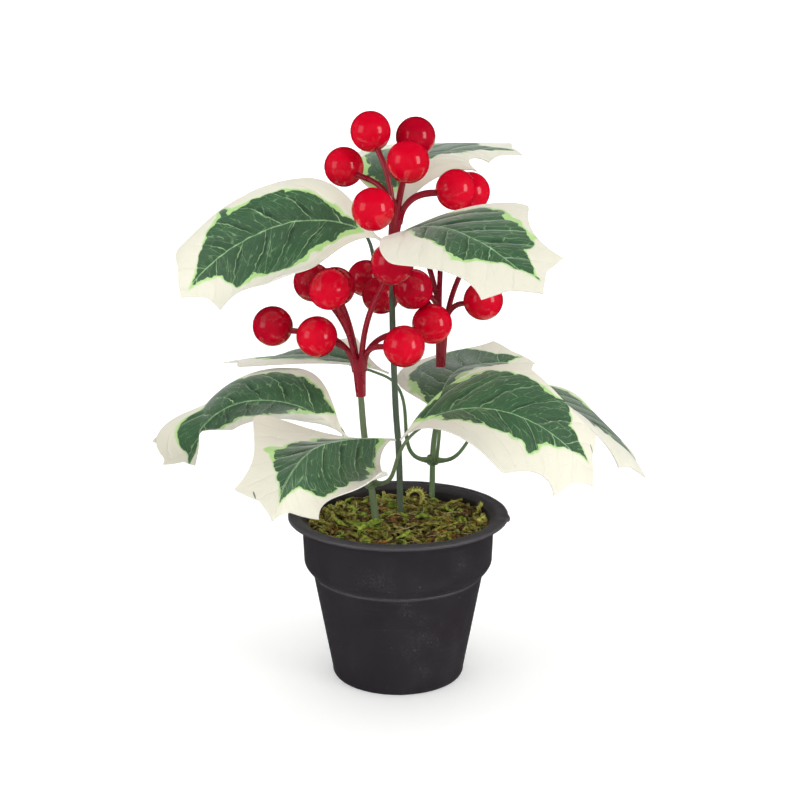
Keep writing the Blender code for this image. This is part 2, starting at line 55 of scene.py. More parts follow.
class Wire:
    # one output of a node; a sum written with it adds the Math nodes
    def __init__(self, finish, socket):
        self.finish = finish
        self.socket = socket

    def maths(self, operation, *values):
        return self.finish.node("ShaderNodeMath", {"operation": operation}, dict(enumerate(values)))

    __add__ = __radd__ = operator("ADD")
    __mul__ = __rmul__ = operator("MULTIPLY")
    __sub__ = operator("SUBTRACT")
    __rsub__ = operator("SUBTRACT", reflected=True)
    __truediv__ = operator("DIVIDE")
    __rtruediv__ = operator("DIVIDE", reflected=True)
    atLeast = operator("MAXIMUM")
    atMost = operator("MINIMUM")

    def __abs__(self):
        return self.maths("ABSOLUTE", self)

    def fraction(self):
        return self.maths("FRACT", self)

    def root(self):
        return self.maths("SQRT", self)

    def sine(self):
        return self.maths("SINE", self)

    def step(self, low, high, start=0.0, end=1.0):
        # start below low, end above high, and soft between them
        inputs = {"Value": self, "From Min": low, "From Max": high, "To Min": start, "To Max": end}
        return self.finish.node("ShaderNodeMapRange", {"interpolation_type": "SMOOTHSTEP"}, inputs)

    def fall(self, low, high):
        return self.step(low, high, 1.0, 0.0)


class Finish:
    # one material: its tree, its Principled shader and what feeds it
    def __init__(self, name, constants):
        self.material = bpy.data.materials.new(name)
        self.material.use_nodes = True
        self.tree = self.material.node_tree
        self.shader = self.tree.nodes["Principled BSDF"]
        for socket, value in constants.items():
            self.shader.inputs[socket].default_value = value

    def node(self, kind, settings, inputs, output=0):
        made = self.tree.nodes.new(kind)
        for name, value in settings.items():
            if name == "stops":
                ramp = made.color_ramp
                while len(ramp.elements) < len(value):
                    ramp.elements.new(0.5)
                for element, (place, colour) in zip(ramp.elements, value):
                    element.position = place
                    element.color = (*colour, 1.0)
            else:
                setattr(made, name, value)
        for name, value in inputs.items():
            self.plug(made.inputs[name], value)
        return Wire(self, made.outputs[output])

    def plug(self, socket, value):
        if isinstance(value, Wire):
            self.tree.links.new(value.socket, socket)
        elif isinstance(value, tuple) and len(value) == 3 and socket.type == "RGBA":
            socket.default_value = (*value, 1.0)
        else:
            socket.default_value = value

    def feed(self, name, value):
        self.plug(self.shader.inputs[name], value)

    def tones(self, factor, first, second):
        self.feed("Base Color", self.mix(factor, first, second))

    def place(self):
        return self.node("ShaderNodeTexCoord", {}, {}, "Object")

    def attribute(self, name, output="Vector"):
        return self.node("ShaderNodeAttribute", {"attribute_name": name}, {}, output)

    def parts(self, vector):
        split = self.node("ShaderNodeSeparateXYZ", {}, {"Vector": vector})
        outputs = split.socket.node.outputs
        return [Wire(self, outputs[axis]) for axis in range(3)]

    def grain(self, vector, scale, detail=2.0, roughness=0.5):
        inputs = {"Vector": vector, "Scale": scale, "Detail": detail, "Roughness": roughness}
        return self.node("ShaderNodeTexNoise", {}, inputs)

    def cells(self, vector, scale, feature="F1"):
        # the distance to the nearest cell's middle or edge
        inputs = {"Vector": vector, "Scale": scale}
        return self.node("ShaderNodeTexVoronoi", {"feature": feature}, inputs, "Distance")

    def awayAndHeight(self):
        # the distance from the upright axis, and the height
        x, y, z = self.parts(self.place())
        return (x * x + y * y).root(), z

    def mix(self, factor, first, second):
        inputs = {0: factor, 6: first, 7: second}
        settings = {"data_type": "RGBA", "clamp_factor": True}
        return self.node("ShaderNodeMix", settings, inputs, 2)

    def scaled(self, vector, factors):
        return self.node("ShaderNodeVectorMath", {"operation": "MULTIPLY"}, {0: vector, 1: factors})

    def bump(self, height, distance, strength=1.0):
        inputs = {"Height": height, "Distance": distance, "Strength": strength}
        self.feed("Normal", self.node("ShaderNodeBump", {}, inputs))


# meshes

def angles(steps):
    return [2 * math.pi * step / steps for step in range(steps)]


def polar(radius, angle, height=0.0):
    return Vector((radius * math.cos(angle), radius * math.sin(angle), height))


def newPiece(name, form, finishes, nodes=(), smoothAngle=60):
    # finishes are its materials; nodes are the solids that the piece stands in for
    bmesh.ops.recalc_face_normals(form, faces=form.faces)
    mesh = bpy.data.meshes.new(name)
    form.to_mesh(mesh)
    form.free()
    piece = bpy.data.objects.new(name, mesh)
    bpy.context.scene.collection.objects.link(piece)
    for finish in finishes:
        mesh.materials.append(finish.material)
    mesh.shade_smooth()
    mesh.set_sharp_from_angle(angle=math.radians(smoothAngle))
    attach(piece, "root")
    if nodes:
        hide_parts(*nodes)
    return piece


def lathe(form, profile, steps, matrix=Matrix()):
    # turns a closed profile of (radius, height) about Z
    rings = [
        [form.verts.new(matrix @ polar(radius, angle, height)) for radius, height in profile]
        for angle in angles(steps)
    ]
    count = len(profile)
    for here, there in zip(rings, rings[1:] + rings[:1]):
        for index in range(count):
            after = (index + 1) % count
            form.faces.new((here[index], there[index], there[after], here[after]))


def frames(route):
    # a point, and two directions across the route there, that don't twist along it
    ends = [route[0] * 2 - route[1], *route, route[-1] * 2 - route[-2]]
    made = []
    across = None
    for before, here, after in zip(ends, ends[1:], ends[2:]):
        along = (after - before).normalized()
        if across is None:
            across = along.orthogonal().normalized()
        across = (across - along * across.dot(along)).normalized()
        made.append((here, across, along.cross(across)))
    return made


def tube(form, route, radii, sides, lobes=0, lobeDepth=0.0):
    # a closed tube, fluted where it has lobes
    rings = []
    for (place, across, over), radius in zip(frames(route), radii):
        ring = []
        for angle in angles(sides):
            reach = radius * (1 - lobeDepth * (0.5 - 0.5 * math.cos(lobes * angle)))
            ring.append(form.verts.new(place + (across * math.cos(angle) + over * math.sin(angle)) * reach))
        rings.append(ring)
    for ring, after in zip(rings, rings[1:]):
        for side in range(sides):
            there = (side + 1) % sides
            form.faces.new((ring[side], ring[there], after[there], after[side]))
    for ring, flip in ((rings[0], True), (rings[-1], False)):
        tip = form.verts.new(sum((vert.co for vert in ring), Vector()) / sides)
        for side in range(sides):
            pair = (ring[side], ring[(side + 1) % sides])
            form.faces.new((*reversed(pair), tip) if flip else (*pair, tip))


def smoothRoute(points, perSpan):
    ends = [points[0] * 2 - points[1], *points, points[-1] * 2 - points[-2]]
    route = []
    for before, start, end, after in zip(ends, ends[1:], ends[2:], ends[3:]):
        slopeIn = (end - before) / 2
        slopeOut = (after - start) / 2
        for step in range(perSpan):
            t = step / perSpan
            route.append(
                start * (2 * t**3 - 3 * t**2 + 1) + slopeIn * (t**3 - 2 * t**2 + t)
                + end * (3 * t**2 - 2 * t**3) + slopeOut * (t**3 - t**2)
            )
    route.append(points[-1].copy())
    return route


def bezier(start, handleA, handleB, end, count):
    route = []
    for step in range(count + 1):
        t = step / count
        route.append(
            start * (1 - t)**3 + handleA * 3 * t * (1 - t)**2
            + handleB * 3 * t * t * (1 - t) + end * t**3
        )
    return route


def inMm(point):
    return Vector(point) * mm


def between(x, places, values):
    # straight lines through the values
    if x <= places[0]:
        return values[0]
    for low, high, first, second in zip(places, places[1:], values, values[1:]):
        if x <= high:
            return first + (second - first) * (x - low) / (high - low)
    return values[-1]


# camera, floor and light

photoView = {
    "place": (0.0008, -0.5, 0.230), "down": 12.9,        # degrees below level
    "lens": 57.5, "sensor": 36.0, "nearest": 0.01,
}

camera = bpy.data.objects.new("camera", bpy.data.cameras.new("camera"))
camera.data.lens = photoView["lens"]
camera.data.sensor_width = photoView["sensor"]
camera.data.clip_start = photoView["nearest"]
camera.location = photoView["place"]
camera.rotation_euler = (math.radians(90 - photoView["down"]), 0, 0)
bpy.context.scene.collection.objects.link(camera)
bpy.context.scene.camera = camera

room = {
    "worldColour": (1.0, 1.0, 1.0), "worldStrength": 0.30,
    "floorColour": (0.97, 0.97, 0.968), "blotched": 0.985,
    # the floor curves up into a plain round wall
    "flat": 1.6, "bend": 0.8, "wall": 2.6, "sides": 64, "bendSteps": 8,
    # it glows softly, more towards the wall, as a studio's lit backdrop does
    "glow": 0.50, "glowStart": 0.15, "glowFull": 1.7, "glowNear": 0.30,
    "lookedAt": (0, 0, 0.13),
}

# name, place, width, height, power, colour; each looks at the middle of the plant
lamps = [
    ("key", (0.80, -0.56, 0.37), 0.34, 0.60, 2.3, (1.0, 0.99, 0.97)),
    ("fill", (-0.80, -0.50, 0.40), 0.50, 0.60, 1.1, (0.97, 0.985, 1.0)),
    ("top", (0.0, 0.10, 1.1), 0.80, 0.80, 2.3, (1.0, 1.0, 1.0)),
]


def makeRoom():
    world = bpy.data.worlds.new("softLight")
    world.use_nodes = True
    background = world.node_tree.nodes["Background"]
    background.inputs["Color"].default_value = (*room["worldColour"], 1.0)
    background.inputs["Strength"].default_value = room["worldStrength"]
    world.cycles_visibility.glossy = False       # gloss shows the lamps alone
    bpy.context.scene.world = world
    bpy.context.scene.view_settings.view_transform = "Standard"

    target = Vector(room["lookedAt"])
    for name, place, width, height, power, colour in lamps:
        lamp = bpy.data.objects.new(name, bpy.data.lights.new(name, "AREA"))
        lamp.data.shape = "RECTANGLE"
        lamp.data.size = width
        lamp.data.size_y = height
        lamp.data.energy = power
        lamp.data.color = colour
        lamp.location = place
        lamp.visible_glossy = name != "top"
        lamp.rotation_euler = (target - Vector(place)).to_track_quat("-Z", "Y").to_euler()
        bpy.context.scene.collection.objects.link(lamp)

    finish = Finish("palePaper", {"Roughness": 0.9, "Specular IOR Level": 0.15})
    light = room["floorColour"]
    darker = tuple(part * room["blotched"] for part in light)
    finish.tones(finish.grain(finish.place(), 3.0), light, darker)
    away, height = finish.awayAndHeight()
    glow = away.step(room["glowStart"], room["glowFull"])
    finish.feed("Emission Color", finish.mix(glow, (room["glowNear"],) * 3, (1.0, 1.0, 1.0)))
    finish.shader.inputs["Emission Strength"].default_value = room["glow"]

    form = bmesh.new()
    profile = [(0.02, 0.0), (0.3, 0.0), (room["flat"], 0.0)]
    for step in range(1, room["bendSteps"] + 1):
        angle = math.pi / 2 * step / room["bendSteps"]
        profile.append((room["flat"] + room["bend"] * math.sin(angle), room["bend"] * (1 - math.cos(angle))))
    profile.append((room["flat"] + room["bend"], room["wall"]))
    rings = [
        [form.verts.new(polar(radius, angle, height)) for radius, height in profile]
        for angle in angles(room["sides"])
    ]
    for here, there in zip(rings, rings[1:] + rings[:1]):
        for index in range(len(profile) - 1):
            form.faces.new((here[index], here[index + 1], there[index + 1], there[index]))
    form.faces.new([ring[0] for ring in rings])
    mesh = bpy.data.meshes.new("floor")
    form.to_mesh(mesh)
    form.free()
    mesh.materials.append(finish.material)
    mesh.shade_smooth()
    floor = bpy.data.objects.new("floor", mesh)
    bpy.context.scene.collection.objects.link(floor)
    floor.visible_glossy = False


makeRoom()
print("room ready")


# pot

pot = {
    "rim": 45.0, "rimTop": 68.6, "lipInner": 40.2, "lipEdge": 1.4,
    "bandTop": 39.3, "band": 38.6, "bandFoot": 49.2, "bandRound": 1.6,
    "shoulder": 35.2, "shoulderTop": 44.2,
    "foot": 27.3, "wall": 1.1, "floor": 1.6, "steps": 192,
    "waver": 0.14, "wear": 0.16,             # how far the lip is out of true, and its edge worn
    # the stub where the pot was cast: degrees round from the right, width in radians, reach, drop
    "gate": 8, "gateWidth": 0.05, "gateReach": 0.9, "gateDrop": (0.5, 0.4),
}
potColours = {
    "dark": (0.0165, 0.0128, 0.0172), "light": (0.0290, 0.0240, 0.0310),
    # the lip colour is a painted highlight on the lip's top
    "turned": (0.070, 0.062, 0.072), "lip": (0.070, 0.062, 0.074),
    # the next colour paints the lip's worn edge and the line under the band: edge wear with a painted
    # highlight
    "rubbedAndHighlit": (0.130, 0.118, 0.134), "dust": (0.30, 0.28, 0.27),
}


def innerRadius(height):
    # the pot wall's inside at a height, in millimetres
    places = (0, pot["shoulderTop"], pot["bandFoot"])
    values = (pot["foot"], pot["shoulder"], pot["band"])
    return between(height, places, values) - pot["wall"]


def potFinish():
    finish = Finish("potPlastic", {
        "Specular IOR Level": 0.6, "Sheen Weight": 0.06, "Sheen Roughness": 0.4,
    })
    place = finish.place()
    cloud = finish.grain(place, 60.0, 4.0, 0.6)
    scuff = finish.grain(place, 38.0, 3.0, 0.6).step(0.52, 0.72)      # where dirt has settled
    speck = finish.cells(place, 620.0).fall(0.05, 0.22)
    fleck = finish.cells(place, 150.0).fall(0.035, 0.075)
    grit = finish.grain(place, 1900.0, 2.0, 0.7).step(0.50, 0.70)
    dust = (scuff * (speck * 0.45 + grit * 0.20) + fleck * grit * 0.9).atMost(1.0)
    turned = finish.grain(finish.scaled(place, (40.0, 40.0, 900.0)), 1.0, 3.0, 0.6).step(0.60, 0.72)
    away, height = finish.awayAndHeight()
    top, rim, shoulder = (pot[name] * mm for name in ("rimTop", "rim", "shoulderTop"))
    upper = height.step(top - 2.2 * mm, top - 0.2 * mm)                 # the top of the lip is painted paler, a painted highlight where the light falls on it
    rubbedAndHighlit = upper * away.step(rim - 0.9 * mm, rim - 0.3 * mm)          # and its outer edge is painted paler still, partly edge wear and partly a painted highlight
    ledge = height.step(shoulder - 1.4 * mm, shoulder - 0.7 * mm)       # and the line under the band is painted pale, a painted highlight
    ledge = ledge * height.fall(shoulder, shoulder + 0.8 * mm)
    rubbedAndHighlit = (rubbedAndHighlit + ledge) * grit.step(0.0, 1.0, 0.5, 1.0)
    body = finish.mix(cloud, potColours["dark"], potColours["light"])
    body = finish.mix(turned * 0.12, body, potColours["turned"])
    # painted highlight: the lip's top is painted paler
    body = finish.mix(upper * 0.40, body, potColours["lip"])
    # edge wear with a painted highlight on the lip's edge, and a painted highlight on the line under the
    # band
    body = finish.mix(rubbedAndHighlit * 0.55, body, potColours["rubbedAndHighlit"])
    finish.tones(dust, body, potColours["dust"])
    finish.feed("Roughness", cloud.step(0.3, 0.7, 0.36, 0.52) + dust * 0.4)
    finish.bump(finish.grain(place, 420.0, 4.0, 0.6) + turned * 0.3, 0.0001, 0.55)
    return finish


def potProfile():
    # radius and height round the wall, from the middle of the floor inside to the foot's middle
    top = pot["rimTop"]
    under = top - pot["lipEdge"]
    inner = pot["lipInner"]
    rim = pot["rim"]
    band = pot["bandTop"]
    insideBand = innerRadius(pot["bandFoot"])
    profile = [
        (0.0001, pot["floor"]), (innerRadius(pot["floor"]) - 1.0, pot["floor"]),
        (innerRadius(pot["floor"]) + 0.1, pot["floor"] + 1.1),
        (innerRadius(pot["shoulderTop"]), pot["shoulderTop"]),
        (insideBand, pot["bandFoot"]), (insideBand, under - 1.2),
        (insideBand + 0.15, under - 0.5),
        (inner - 0.6, top - 0.45), (inner - 0.1, top - 0.1), (inner + 0.35, top),
        (inner + 1.2, top - 0.12), (rim - 1.1, top - 0.12), (rim - 0.55, top),
        (rim - 0.25, top - 0.08), (rim - 0.06, top - 0.25),
        (rim, top - 0.5), (rim - 0.05, under + 0.25), (rim - 0.25, under),
        (rim - 0.6, under - 0.02), (band + 1.0, under - 0.2), (band + 0.4, under - 0.6),
        (band + 0.1, under - 1.3), (band - 0.1, under - 3.0),
    ]
    for step in range(11):
        share = step / 10
        radius = pot["band"] + (pot["shoulder"] - pot["band"]) * share ** pot["bandRound"]
        profile.append((radius, pot["bandFoot"] + (pot["shoulderTop"] - pot["bandFoot"]) * share))
    ledge, ledgeTop = profile[-1]
    profile += [                                         # the fine raised line under the band
        (ledge + 0.10, ledgeTop - 0.12), (ledge + 0.12, ledgeTop - 0.35), (ledge - 0.02, ledgeTop - 0.55),
        (ledge - 0.30, ledgeTop - 0.75), (ledge - 0.42, ledgeTop - 1.6),
        (pot["foot"] + 0.12, 2.4), (pot["foot"], 1.0), (pot["foot"] - 0.3, 0.35), (pot["foot"] - 1.0, 0.0),
        (0.0001, 0.0),
    ]
    return profile


def makePot():
    form = bmesh.new()
    lathe(form, [(radius * mm, height * mm) for radius, height in potProfile()], pot["steps"])
    bmesh.ops.remove_doubles(form, verts=form.verts, dist=0.00002)

    under = pot["rimTop"] - pot["lipEdge"]
    gate = math.radians(pot["gate"])
    drop, ragged = pot["gateDrop"]
    for vert in form.verts:
        radius = math.hypot(vert.co.x, vert.co.y)
        angle = math.atan2(vert.co.y, vert.co.x)
        if radius > (pot["lipInner"] - 1) * mm and vert.co.z > (under - 0.3) * mm:
            spot = Vector((angle * 5, 0, 7.1))
            vert.co.z += noise.noise(spot) * pot["waver"] * mm
            outmost = between(radius / mm, (pot["rim"] - 3, pot["rim"]), (0, 1))
            vert.co += polar(noise.noise(spot * 9) * pot["wear"] * outmost * mm, angle)
            near = math.exp(-(((angle + gate) / pot["gateWidth"]) ** 2))
            if radius > (pot["rim"] - 1.5) * mm:
                vert.co += polar(near * pot["gateReach"] * mm, angle)
                vert.co.z -= near * (drop + ragged * noise.noise(spot * 20)) * mm
    newPiece("potShell", form, [potFinish()], ["pot"], 35)
    print("pot ready")


makePot()


# filling and moss

moss = {
    "floor": 53.3, "top": 64.8, "lump": 1.1, "tilt": 0.03, "edgeDrop": 1.6,
    "rings": 70, "spokes": 160, "under": 0.7,      # the bed lies this far under the strands
    "seed": 11,
}


def mossHeight(x, y):
    # the top of the cushion at a place, all in millimetres
    lumps = math.sin(0.33 * x + 1.1) * math.cos(0.29 * y + 0.5)
    lumps += 0.7 * math.sin(0.62 * x - 0.41 * y + 2.0)
    wall = (math.hypot(x, y) / innerRadius(pot["bandFoot"])) ** 4
    return moss["top"] + moss["lump"] * lumps - moss["tilt"] * y - moss["edgeDrop"] * wall


def mossFinish():
    finish = Finish("mossBed", {"Roughness": 0.95, "Specular IOR Level": 0.2})
    place = finish.place()
    patch = finish.grain(place, 110.0, 3.0, 0.6)
    fibre = finish.grain(finish.scaled(place, (1.0, 1.0, 2.0)), 900.0, 4.0, 0.7)
    colour = finish.node("ShaderNodeValToRGB", {"stops": [
        (0.25, (0.006, 0.004, 0.002)), (0.45, (0.022, 0.017, 0.006)),
        (0.62, (0.050, 0.046, 0.012)), (0.8, (0.034, 0.021, 0.008)),
    ]}, {"Fac": patch})
    finish.tones(fibre.step(0.35, 0.65), (0.018, 0.012, 0.005), colour)
    finish.bump(fibre, 0.0008, 0.9)
    return finish


def strandFinish(name, dark, light):
    finish = Finish(name, {"Roughness": 0.8, "Specular IOR Level": 0.3})
    speckle = finish.grain(finish.place(), 700.0, 3.0, 0.6)
    finish.tones(speckle.step(0.35, 0.65), dark, light)
    finish.bump(speckle, 0.0002, 0.6)
    return finish


# dark, light, share of the strands, thickness and length in millimetres
strandKinds = {
    "mossOlive": ((0.090, 0.082, 0.012), (0.340, 0.310, 0.060), 0.40, 0.58, (4.0, 12.0)),
    "mossBrown": ((0.040, 0.022, 0.007), (0.175, 0.100, 0.030), 0.25, 0.42, (4.0, 12.0)),
    "mossGreen": ((0.090, 0.150, 0.012), (0.360, 0.450, 0.060), 0.16, 0.66, (4.0, 9.0)),
    "mossStraw": ((0.260, 0.190, 0.080), (0.520, 0.420, 0.210), 0.13, 0.14, (7.0, 18.0)),
    "mossRust": ((0.150, 0.058, 0.010), (0.380, 0.170, 0.035), 0.06, 0.46, (3.0, 8.0)),
    "mossFrond": ((0.240, 0.245, 0.035), (0.600, 0.570, 0.150), 0.0, 0.0, (0.0, 0.0)),
}

# how each layer of strands lies: how many, how far out, height over the cushion, thickness as a
# share, the most they curl, and the climb that a random share gives; length is the kind's own
# where a layer names none
strandLayers = [
    {"count": 1050, "out": 0.97, "clump": 2.6, "height": (-0.4, 0.4), "thick": (0.6, 1.3),
     "curl": 3.0, "climb": lambda share: 0.35 if share < 0.12 else 0.0},
    {"count": 190, "out": 0.9, "clump": 0.0, "height": (0.7, 1.7), "thick": (0.9, 1.3),
     "curl": 2.4, "climb": lambda share: 0.3 * share, "length": (7, 13)},
]

# strands that stand out: kind, place in millimetres, heading, length, thickness, curl, climb
bigStrands = [
    ("mossGreen", (-15.6, -24), 80, 15, 0.95, -0.5, 0.35),
    ("mossGreen", (-13, -21), 100, 9, 0.75, 1.0, 0.3),
    ("mossGreen", (6, -2), 20, 11, 0.8, -1.2, 0.25),
    ("mossGreen", (12, -4), -30, 10, 0.8, 1.4, 0.3),
    ("mossGreen", (22, -9), 60, 9, 0.7, -1.0, 0.3),
    ("mossOlive", (15, 8), 10, 12, 0.8, 1.2, 0.4),
    ("mossOlive", (18, 15), -40, 10, 0.7, 1.4, 0.4),
    ("mossOlive", (-27, -6), 70, 12, 0.9, 0.8, 0.35),
    ("mossOlive", (-30, 3), 40, 10, 0.9, -0.9, 0.35),
    ("mossRust", (10, -26), 10, 11, 0.7, 0.7, 0.15),
    ("mossRust", (17, -22), -20, 9, 0.7, -0.8, 0.15),
    ("mossRust", (-8, -17), 160, 10, 0.7, 0.8, 0.2),
    ("mossStraw", (-12, -2), 115, 18, 0.22, 0.5, 0.5),
    ("mossStraw", (3, 2), 150, 16, 0.20, -0.5, 0.45),
]

# curled frond tips: place, heading, size of the curl, thickness, turns
frondTips = [
    ((6.5, 22), 15, 4.9, 1.3, 1.25),
    ((34.6, 13.5), 60, 3.0, 1.2, 1.4),
    ((33.8, -6), 50, 2.6, 1.1, 1.4),
    ((-24, 19), 150, 2.6, 0.9, 1.3),
    ((-6, 30), 100, 2.4, 0.9, 1.3),
]


def makeStrand(form, draw, place, heading, length, radius, curl, climb):
    # one dry strand that curls over the cushion, crinkled along its length
    steps = 10
    route = []
    spot = Vector(place)
    turn = heading
    lift = draw.uniform(-0.1, 0.45) + climb
    for step in range(steps + 1):
        route.append(spot.copy())
        turn += curl / steps + draw.uniform(-0.18, 0.18)
        lift -= draw.uniform(0.0, 0.16)
        spot = spot + polar(1, turn, lift).normalized() * length / steps
        reach = math.hypot(spot.x, spot.y)
        limit = (innerRadius(60) - 0.9) * mm
        if reach > limit:
            spot.x *= limit / reach
            spot.y *= limit / reach
        ground = mossHeight(spot.x / mm, spot.y / mm) * mm
        spot.z = max(spot.z, ground - 0.5 * mm)
    radii = []
    for step in range(steps + 1):
        swell = 0.55 + 0.6 * math.sin(math.pi * (step + 0.5) / (steps + 1))
        radii.append(radius * swell * draw.uniform(0.7, 1.3))
    tube(form, route, radii, 5)


def makeFrondTip(form, draw, place, heading, size, radius, turns):
    # a frond tip rolled up in a standing spiral, with small leaflets round its back
    x, y = place
    across = polar(1, math.radians(heading))
    centre = Vector((x, y, mossHeight(x, y) + size * 0.85))
    route = []
    steps = 40
    for step in range(steps + 1):
        share = step / steps
        angle = -math.pi * 0.65 + 2 * math.pi * turns * share
        reach = size * (1 - 0.78 * share)
        turned = across * math.cos(angle) + Vector((0, 0, math.sin(angle)))
        route.append(inMm(centre + turned * reach))
    radii = [radius * mm * (0.9 - 0.5 * step / steps) for step in range(steps + 1)]
    tube(form, route, radii, 8)
    for step in range(1, 24):
        spot = route[step]
        outward = (spot - inMm(centre)).normalized()
        lean = across.cross(Vector((0, 0, 1))) * draw.uniform(-0.6, 0.6)
        tip = spot + (outward + lean).normalized() * radius * mm * draw.uniform(1.2, 1.7)
        tube(form, [spot, spot.lerp(tip, 0.5), tip], [0.34 * mm, 0.3 * mm, 0.10 * mm], 5)


def makeMoss():
    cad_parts["filling"].data.materials.clear()
    casting = Finish("castingMix", {"Roughness": 0.95})
    pebble = casting.grain(casting.place(), 350.0, 4.0)
    casting.tones(pebble, (0.24, 0.22, 0.19), (0.42, 0.39, 0.34))
    casting.bump(pebble, 0.0004)
    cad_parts["filling"].data.materials.append(casting.material)

    form = bmesh.new()
    outer = innerRadius(pot["bandFoot"]) - 0.3
    spokes = moss["spokes"]
    rings = []
    for ring in range(1, moss["rings"] + 1):
        radius = outer * ring / moss["rings"]
        row = []
        for angle in angles(spokes):
            x, y = radius * math.cos(angle), radius * math.sin(angle)
            rough = noise.fractal(Vector((x * 0.35, y * 0.35, 3.0)), 0.8, 2.0, 4)
            row.append(form.verts.new(inMm((x, y, mossHeight(x, y) - moss["under"] + rough))))
        rings.append(row)
    rings.append([form.verts.new((vert.co.x, vert.co.y, moss["floor"] * mm)) for vert in rings[-1]])
    crown = form.verts.new(inMm((0, 0, mossHeight(0, 0) - moss["under"])))
    base = form.verts.new(inMm((0, 0, moss["floor"])))
    for spoke in range(spokes):
        after = (spoke + 1) % spokes
        form.faces.new((crown, rings[0][spoke], rings[0][after]))
        form.faces.new((base, rings[-1][after], rings[-1][spoke]))
        for inside, outside in zip(rings, rings[1:]):
            form.faces.new((inside[spoke], outside[spoke], outside[after], inside[after]))
    newPiece("mossBed", form, [mossFinish()], ["moss"])

    draw = random.Random(moss["seed"])
    for name, (dark, light, share, radius, lengths) in strandKinds.items():
        form = bmesh.new()
        for layer in strandLayers:
            curl = layer["curl"]
            for index in range(round(layer["count"] * share)):
                reach = outer * math.sqrt(draw.random()) * layer["out"]
                angle = draw.uniform(0, 2 * math.pi)
                x, y = reach * math.cos(angle), reach * math.sin(angle)
                clump = max(noise.noise(Vector((x * 0.16, y * 0.16, 5.0))), -0.15) * layer["clump"]
                level = mossHeight(x, y) + clump + draw.uniform(*layer["height"])
                makeStrand(
                    form, draw, inMm((x, y, level)), draw.uniform(0, 2 * math.pi),
                    draw.uniform(*layer.get("length", lengths)) * mm,
                    radius * mm * draw.uniform(*layer["thick"]), draw.uniform(-curl, curl),
                    layer["climb"](draw.random()),
                )
        for kind, (x, y), heading, length, thickness, curl, climb in bigStrands:
            if kind == name:
                makeStrand(
                    form, draw, inMm((x, y, mossHeight(x, y) + 0.6)), math.radians(heading),
                    length * mm, thickness * mm, curl, climb,
                )
        if name == "mossFrond":
            for place, heading, size, thickness, turns in frondTips:
                makeFrondTip(form, draw, place, heading, size, thickness, turns)
        newPiece(name, form, [strandFinish(name, dark, light)])
    print("moss ready")


makeMoss()


# stems and collars

stems = {
    "left": {
        "route": [(-7, -10, 40), (-8.5, -10, 64), (-11, -10, 85), (-13.4, -10, 104), (-14.6, -9, 119)],
        "radii": (1.6, 1.2), "collar": 84, "fork": (-15.4, -8.6, 134),
    },
    "centre": {
        "route": [(1, 4, 40), (1, 5, 64), (0.3, 7, 92), (-1, 8, 111), (-2.2, 7, 145), (-2.3, 3, 176)],
        "radii": (1.35, 1.2), "collar": 167, "fork": (-0.5, 1.5, 191),
    },
    "right": {
        "route": [(13.5, 27, 40), (14.6, 30, 66), (15, 31, 86), (16.3, 32, 98), (18, 33, 121)],
        "radii": (1.3, 1.1), "collar": 82, "fork": (18.5, 32, 143),
    },
}
collarSize = {"height": 4.0, "wall": 1.0, "gap": 0.3, "sleeveReach": 9.4}


def stemPlastic(name, dark, light):
    finish = Finish(name, {"IOR": 1.48, "Coat Weight": 0.15, "Coat Roughness": 0.3})
    place = finish.place()
    stain = finish.grain(place, 90.0, 3.0)
    streak = finish.grain(finish.scaled(place, (900.0, 900.0, 60.0)), 1.0, 3.0)
    finish.tones(stain * 0.6 + streak * 0.4, dark, light)
    finish.feed("Roughness", streak.step(0.3, 0.7, 0.34, 0.52))
    finish.bump(streak, 0.00012, 0.6)
    return finish


def stemSpots(name):
    stem = stems[name]
    foot = inMm(stem["route"][-1])
    axis = (inMm(stem["fork"]) - foot).normalized()
    coarse = smoothRoute([inMm(point) for point in stem["route"]], 3)
    fine = smoothRoute([inMm(point) for point in stem["route"]], 12)
    return coarse, fine, foot, axis


def stemRadius(name, height):
    stem = stems[name]
    low, high = stem["route"][0][2] * mm, stem["route"][-1][2] * mm
    return between(height, (low, high), stem["radii"]) * mm


def collarPlace(name):
    # where a stem's collar sits, the stem's direction there and its radius
    coarse, fine, foot, axis = stemSpots(name)
    height = stems[name]["collar"] * mm
    for lower, upper in zip(coarse, coarse[1:]):
        if lower.z <= height <= upper.z:
            place = lower.lerp(upper, (height - lower.z) / (upper.z - lower.z))
            return place, (upper - lower).normalized(), stemRadius(name, height)


def makeStems(finishes):
    for name in stems:
        coarse, fine, foot, axis = stemSpots(name)
        route = [*fine, foot + axis * collarSize["sleeveReach"] * mm]
        form = bmesh.new()
        radii = [stemRadius(name, spot.z) * (1 + 0.03 * noise.noise(spot * 300)) for spot in route]
        tube(form, route, radii, 20)
        newPiece(f"stemRod_{name}", form, [finishes[name]], [f"stem_{name}"])

        place, direction, radius = collarPlace(name)
        half = collarSize["height"] / 2
        bore = radius / mm + collarSize["gap"]
        outside = bore + collarSize["wall"]
        profile = [
            (bore, half - 0.2), (bore + 0.2, half), (outside - 0.35, half), (outside - 0.1, half - 0.25),
            (outside, half - 0.7),
        ]
        profile += [(outside - 0.12, 0.0)] + [(r, -h) for r, h in reversed(profile)]
        form = bmesh.new()
        matrix = direction.to_track_quat("Z", "Y").to_matrix().to_4x4()
        matrix.translation = place
        lathe(form, [(r * mm, h * mm) for r, h in profile], 32, matrix)
        newPiece(f"stemCollar_{name}", form, [finishes[name]], [f"collar_{name}"])
    print("stems ready")


stemFinishes = {
    "left": stemPlastic("stemOlive", (0.085, 0.125, 0.058), (0.165, 0.220, 0.105)),
    "centre": stemPlastic("stemGreen", (0.060, 0.092, 0.055), (0.115, 0.160, 0.100)),
    "right": stemPlastic("stemDark", (0.085, 0.150, 0.062), (0.170, 0.260, 0.115)),
}
makeStems(stemFinishes)


# leaves

